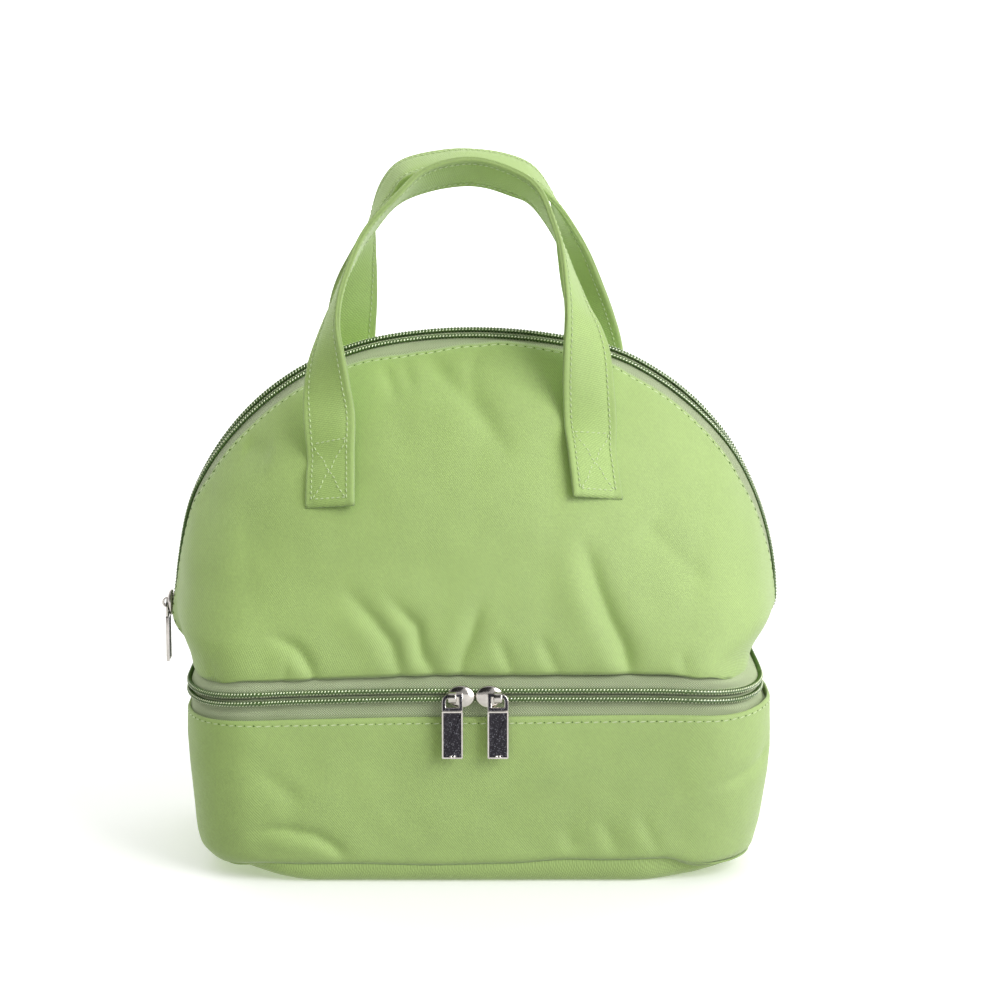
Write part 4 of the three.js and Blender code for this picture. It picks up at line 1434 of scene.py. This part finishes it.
def crown_shape():
    """Crown of a slider: a rounded bridge over the origin that the pull's bar runs under."""
    bm = bmesh.new()
    strip = (
        Matrix.Rotation(math.radians(-100), 4, "X")
        @ Matrix.Translation((0, 0, BRIDGE_RADIUS))
        @ Matrix.Rotation(math.pi / 2, 4, "X") @ Matrix.Diagonal((3.4, 0.9, 1, 1))
    )
    bmesh.ops.create_grid(bm, x_segments=4, y_segments=2, size=0.5, matrix=strip)
    bmesh.ops.spin(
        bm, geom=bm.verts[:] + bm.edges[:] + bm.faces[:], axis=(1, 0, 0), cent=(0, 0, 0),
        angle=math.radians(200), steps=14, use_merge=False,
    )
    bevelled(closed(bm), sharp_edges(bm), 0.25)
    return bm


def slider_shape(crown_x, crown_turn, inner_low):
    """Slider in its own frame: X along the zip, Y across it, Z out from the tape.
    inner_low is where its inner plate begins, across the zip."""
    bm = bmesh.new()
    ball(bm, (SLIDER_LENGTH / 2, SLIDER_WIDTH / 2, 1.9), (0, 0, DOME_BASE), 40, 20)
    for vert in bm.verts:
        vert.co.z = max(vert.co.z, OUTER_PLATE)
    # inner plate, with the web that joins the two
    inner_high = 4.3
    width = inner_high - inner_low
    block(bm, (9, width, 1.2), (0, inner_high - width / 2, -1.8), 0.5)
    block(bm, (8.4, 0.8, 5.6), (0, 0, 0.9))
    crown = crown_shape()
    place = Matrix.Translation((crown_x, 0, BAR_HEIGHT)) @ Matrix.Rotation(crown_turn, 4, "Z")
    bmesh.ops.transform(crown, matrix=place, verts=crown.verts)
    add_to(bm, crown)
    bmesh.ops.recalc_face_normals(bm, faces=bm.faces)
    return bm


PULL_WIDTH = 9.1
PULL_LENGTH = 29.2
PULL_THICK = 1.4
EYE_TOP = 1.9
EYE_LOW = -6.1
EYE_THICK = 1.1


def pull_shape(tuck):
    """Pull in its own frame: the bar lies along X at the origin and the tab hangs down -Y.
    tuck is the side, -1 or 1, whose upper corner is rounded off."""
    bm = bmesh.new()
    half = PULL_WIDTH / 2
    # eye: a flat ring, thinner than the tab
    ring = [bm.verts.new((x, y, 0)) for x, y in (
        (-half, EYE_LOW), (half, EYE_LOW), (half, EYE_TOP), (-half, EYE_TOP),
    )]
    bm.faces.new(ring)
    round_corner = [v for v in ring if v.co.y > 0 and v.co.x * tuck > 0]
    bevelled(bm, round_corner, 3.8, 6, "VERTICES")
    outline = max(bm.faces, key=lambda f: f.calc_area())
    bmesh.ops.inset_individual(bm, faces=[outline], thickness=1.75, use_even_offset=True)
    window = [f for f in bm.faces if len(f.verts) > 4]
    bmesh.ops.delete(bm, geom=window, context="FACES_ONLY")
    made = bmesh.ops.extrude_face_region(bm, geom=bm.faces[:])
    moved = [v for v in made["geom"] if isinstance(v, bmesh.types.BMVert)]
    bmesh.ops.translate(bm, verts=moved, vec=(0, 0, EYE_THICK))
    bmesh.ops.translate(bm, verts=bm.verts, vec=(0, 0, -EYE_THICK / 2))
    bevelled(closed(bm), sharp_edges(bm), 0.28)
    for face in bm.faces:
        # the flat faces of the eye take the dark colour, a painted dark reflection
        face.material_index = 1 if abs(face.normal.z) > 0.95 else 0
    # tab: a plate with a raised rim round a recessed face, front and back
    known = set(bm.verts)
    low = EYE_TOP - PULL_LENGTH
    block(bm, (PULL_WIDTH, EYE_LOW - low, PULL_THICK), (0, (EYE_LOW + low) / 2, 0))
    corners = [e for e in bm.edges if not set(e.verts) & known
               and abs(e.verts[0].co.z - e.verts[1].co.z) > 1]
    bevelled(bm, corners, 0.5, 3)
    broad = [f for f in bm.faces if f.verts[0] not in known and abs(f.normal.z) > 0.9
             and f.calc_area() > 60]
    bmesh.ops.inset_individual(bm, faces=broad, thickness=0.62, use_even_offset=True)
    for face in broad:
        inward = face.normal.copy()
        bmesh.ops.inset_individual(bm, faces=[face], thickness=0.14)
        for vert in face.verts:
            vert.co -= inward * 0.26
        # the recessed face takes the dark colour, a painted dark reflection
        face.material_index = 1
    # two small bumps near the lower end
    for x in (-0.75, 0.75):
        for z in (-1, 1):
            ball(bm, (0.62, 0.5, 0.4), (x, low + 1.0, z * 0.42), 12, 8)
    return bm


def metal_piece(node, bm, place, body):
    bmesh.ops.transform(bm, matrix=place, verts=bm.verts)
    made = piece(f"{node}_casting", bm, NICKEL, body, node, second=DARK_REFLECTION_METAL)
    made.data.set_sharp_from_angle(angle=math.radians(35))


RIGHT, BACK, UP = Vector((1, 0, 0)), Vector((0, 1, 0)), Vector((0, 0, 1))
FULL_INNER = -4.3
HALF_INNER = -0.5
for label, sign in (("left", -1), ("right", 1)):
    middle = 1.2 + sign * (SLIDER_LENGTH + 0.3) / 2
    crown_x = sign * 3.7
    seat = (middle, 0.1 - BAND_HALF_DEPTH, CHAIN_HEIGHT + 1.5)
    facing = axes(RIGHT, UP, -BACK, seat)
    name = f"lower_{label}"
    metal_piece(
        f"{name}_slider", slider_shape(crown_x, 0, FULL_INNER), facing, f"{name}_slider_body"
    )
    hang = facing @ Matrix.Translation((crown_x, 0, BAR_HEIGHT))
    metal_piece(f"{name}_pull", pull_shape(sign), hang, f"{name}_pull_tab")

ARCH_SLIDER_HEIGHT = 114.5
ARCH_SLIDER_DROP = 2
slider_angle = math.asin((ARCH_SLIDER_HEIGHT - SIDE_CENTRE[1]) / SIDE_RADIUS)
out = Vector((-math.cos(slider_angle), 0, math.sin(slider_angle)))
up_arch = Vector((math.sin(slider_angle), 0, math.cos(slider_angle)))
seat = Vector((SIDE_CENTRE[0], 0, SIDE_CENTRE[1] - ARCH_SLIDER_DROP))
seat += out * (SIDE_RADIUS - TAPE_INSET - 1.2)
metal_piece(
    "arch_slider", slider_shape(0, math.pi / 2, HALF_INNER), axes(up_arch, BACK, out, seat),
    "arch_slider_body",
)
hang = axes(-BACK, UP, -RIGHT, seat + out * BAR_HEIGHT)
metal_piece("arch_pull", pull_shape(1), hang, "arch_pull_tab")

bpy.data.meshes.remove(COIL_TURN)


# ---- Floor and light ----


def sheet(name, finish, colour, roughness, place, glow=0.0):
    """Flat sheet of the studio. place lays out a sheet of two metres by two."""
    bm = bmesh.new()
    bmesh.ops.create_grid(bm, x_segments=1, y_segments=1, size=1, matrix=place)
    look = Look(finish, "", Roughness=roughness, Specular_IOR_Level=0.2)
    look.set(Base_Color=(*[colour] * 3, 1))
    if glow:
        look.set(Emission_Color=(1, 1, 1, 1), Emission_Strength=glow)
    mesh = kept(name, bm)
    mesh.materials.append(look.material)
    made = linked(name, mesh)
    return made


floor = sheet("floor", "pale_floor", 0.92, 0.8, Matrix.Diagonal((12, 12, 1, 1)), 0.2)
floor.visible_diffuse = False

upright = Matrix.Translation((0, 3.2, 0)) @ Matrix.Rotation(math.pi / 2, 4, "X")
sheet("backdrop", "white_backdrop", 0.9, 0.9, upright @ Matrix.Diagonal((6, 6, 1, 1)), 1.0)

# Dark card before the left of the bag, seen by reflections alone
card_place = Vector((-0.55, -1.0, 0.95))
card_turn = (card_place - Vector((0, 0, 0.1))).to_track_quat("Z", "Y").to_matrix().to_4x4()
card_frame = Matrix.Translation(card_place) @ card_turn @ Matrix.Diagonal((0.85, 0.7, 1, 1))
card = sheet("dark_card", "dark_card", 0.02, 1.0, card_frame)
card.visible_camera = card.visible_diffuse = card.visible_shadow = False

world = bpy.data.worlds.new("studio")
world.use_nodes = True
scene.world = world

# Pale ceiling and back, and a darker room on the camera's side, which the metal reflects
studio = Nodes(world.node_tree)
_, backward, upward = studio.split(studio.place("Generated"))
ceiling = upward.ease(-0.05, 0.75) * 0.66
behind = backward.ease(-0.55, 0.7) * 0.14 + 0.52
sky = world.node_tree.nodes["Background"]
sky.inputs["Color"].default_value = (1, 1, 1, 1)
studio.feed(sky.inputs["Strength"], ceiling.math("MAXIMUM", behind))


def lamp(name, kind, energy, toward):
    """Light that shines from the direction toward."""
    made = linked(name, bpy.data.lights.new(name, kind))
    made.data.energy = energy
    made.rotation_mode = "QUATERNION"
    made.rotation_quaternion = toward.to_track_quat("Z", "Y")
    return made


# Sun from the right of the camera and above it
azimuth, rise = math.radians(54), math.radians(34)
key_from = Vector((
    math.sin(azimuth) * math.cos(rise), -math.cos(azimuth) * math.cos(rise), math.sin(rise),
))
key = lamp("key_softbox", "SUN", 1.95, key_from)
key.data.angle = math.radians(36)

glow_place = Vector((0.78, -0.66, 0.34))
glow = lamp("side_glow", "AREA", 36, glow_place - Vector((0.05, 0, 0.13)))
glow.data.shape = "RECTANGLE"
glow.data.size, glow.data.size_y = 0.9, 1.0
glow.location = glow_place
glow.visible_diffuse = False
scene.view_settings.view_transform = "Standard"
scene.view_settings.look = "None"
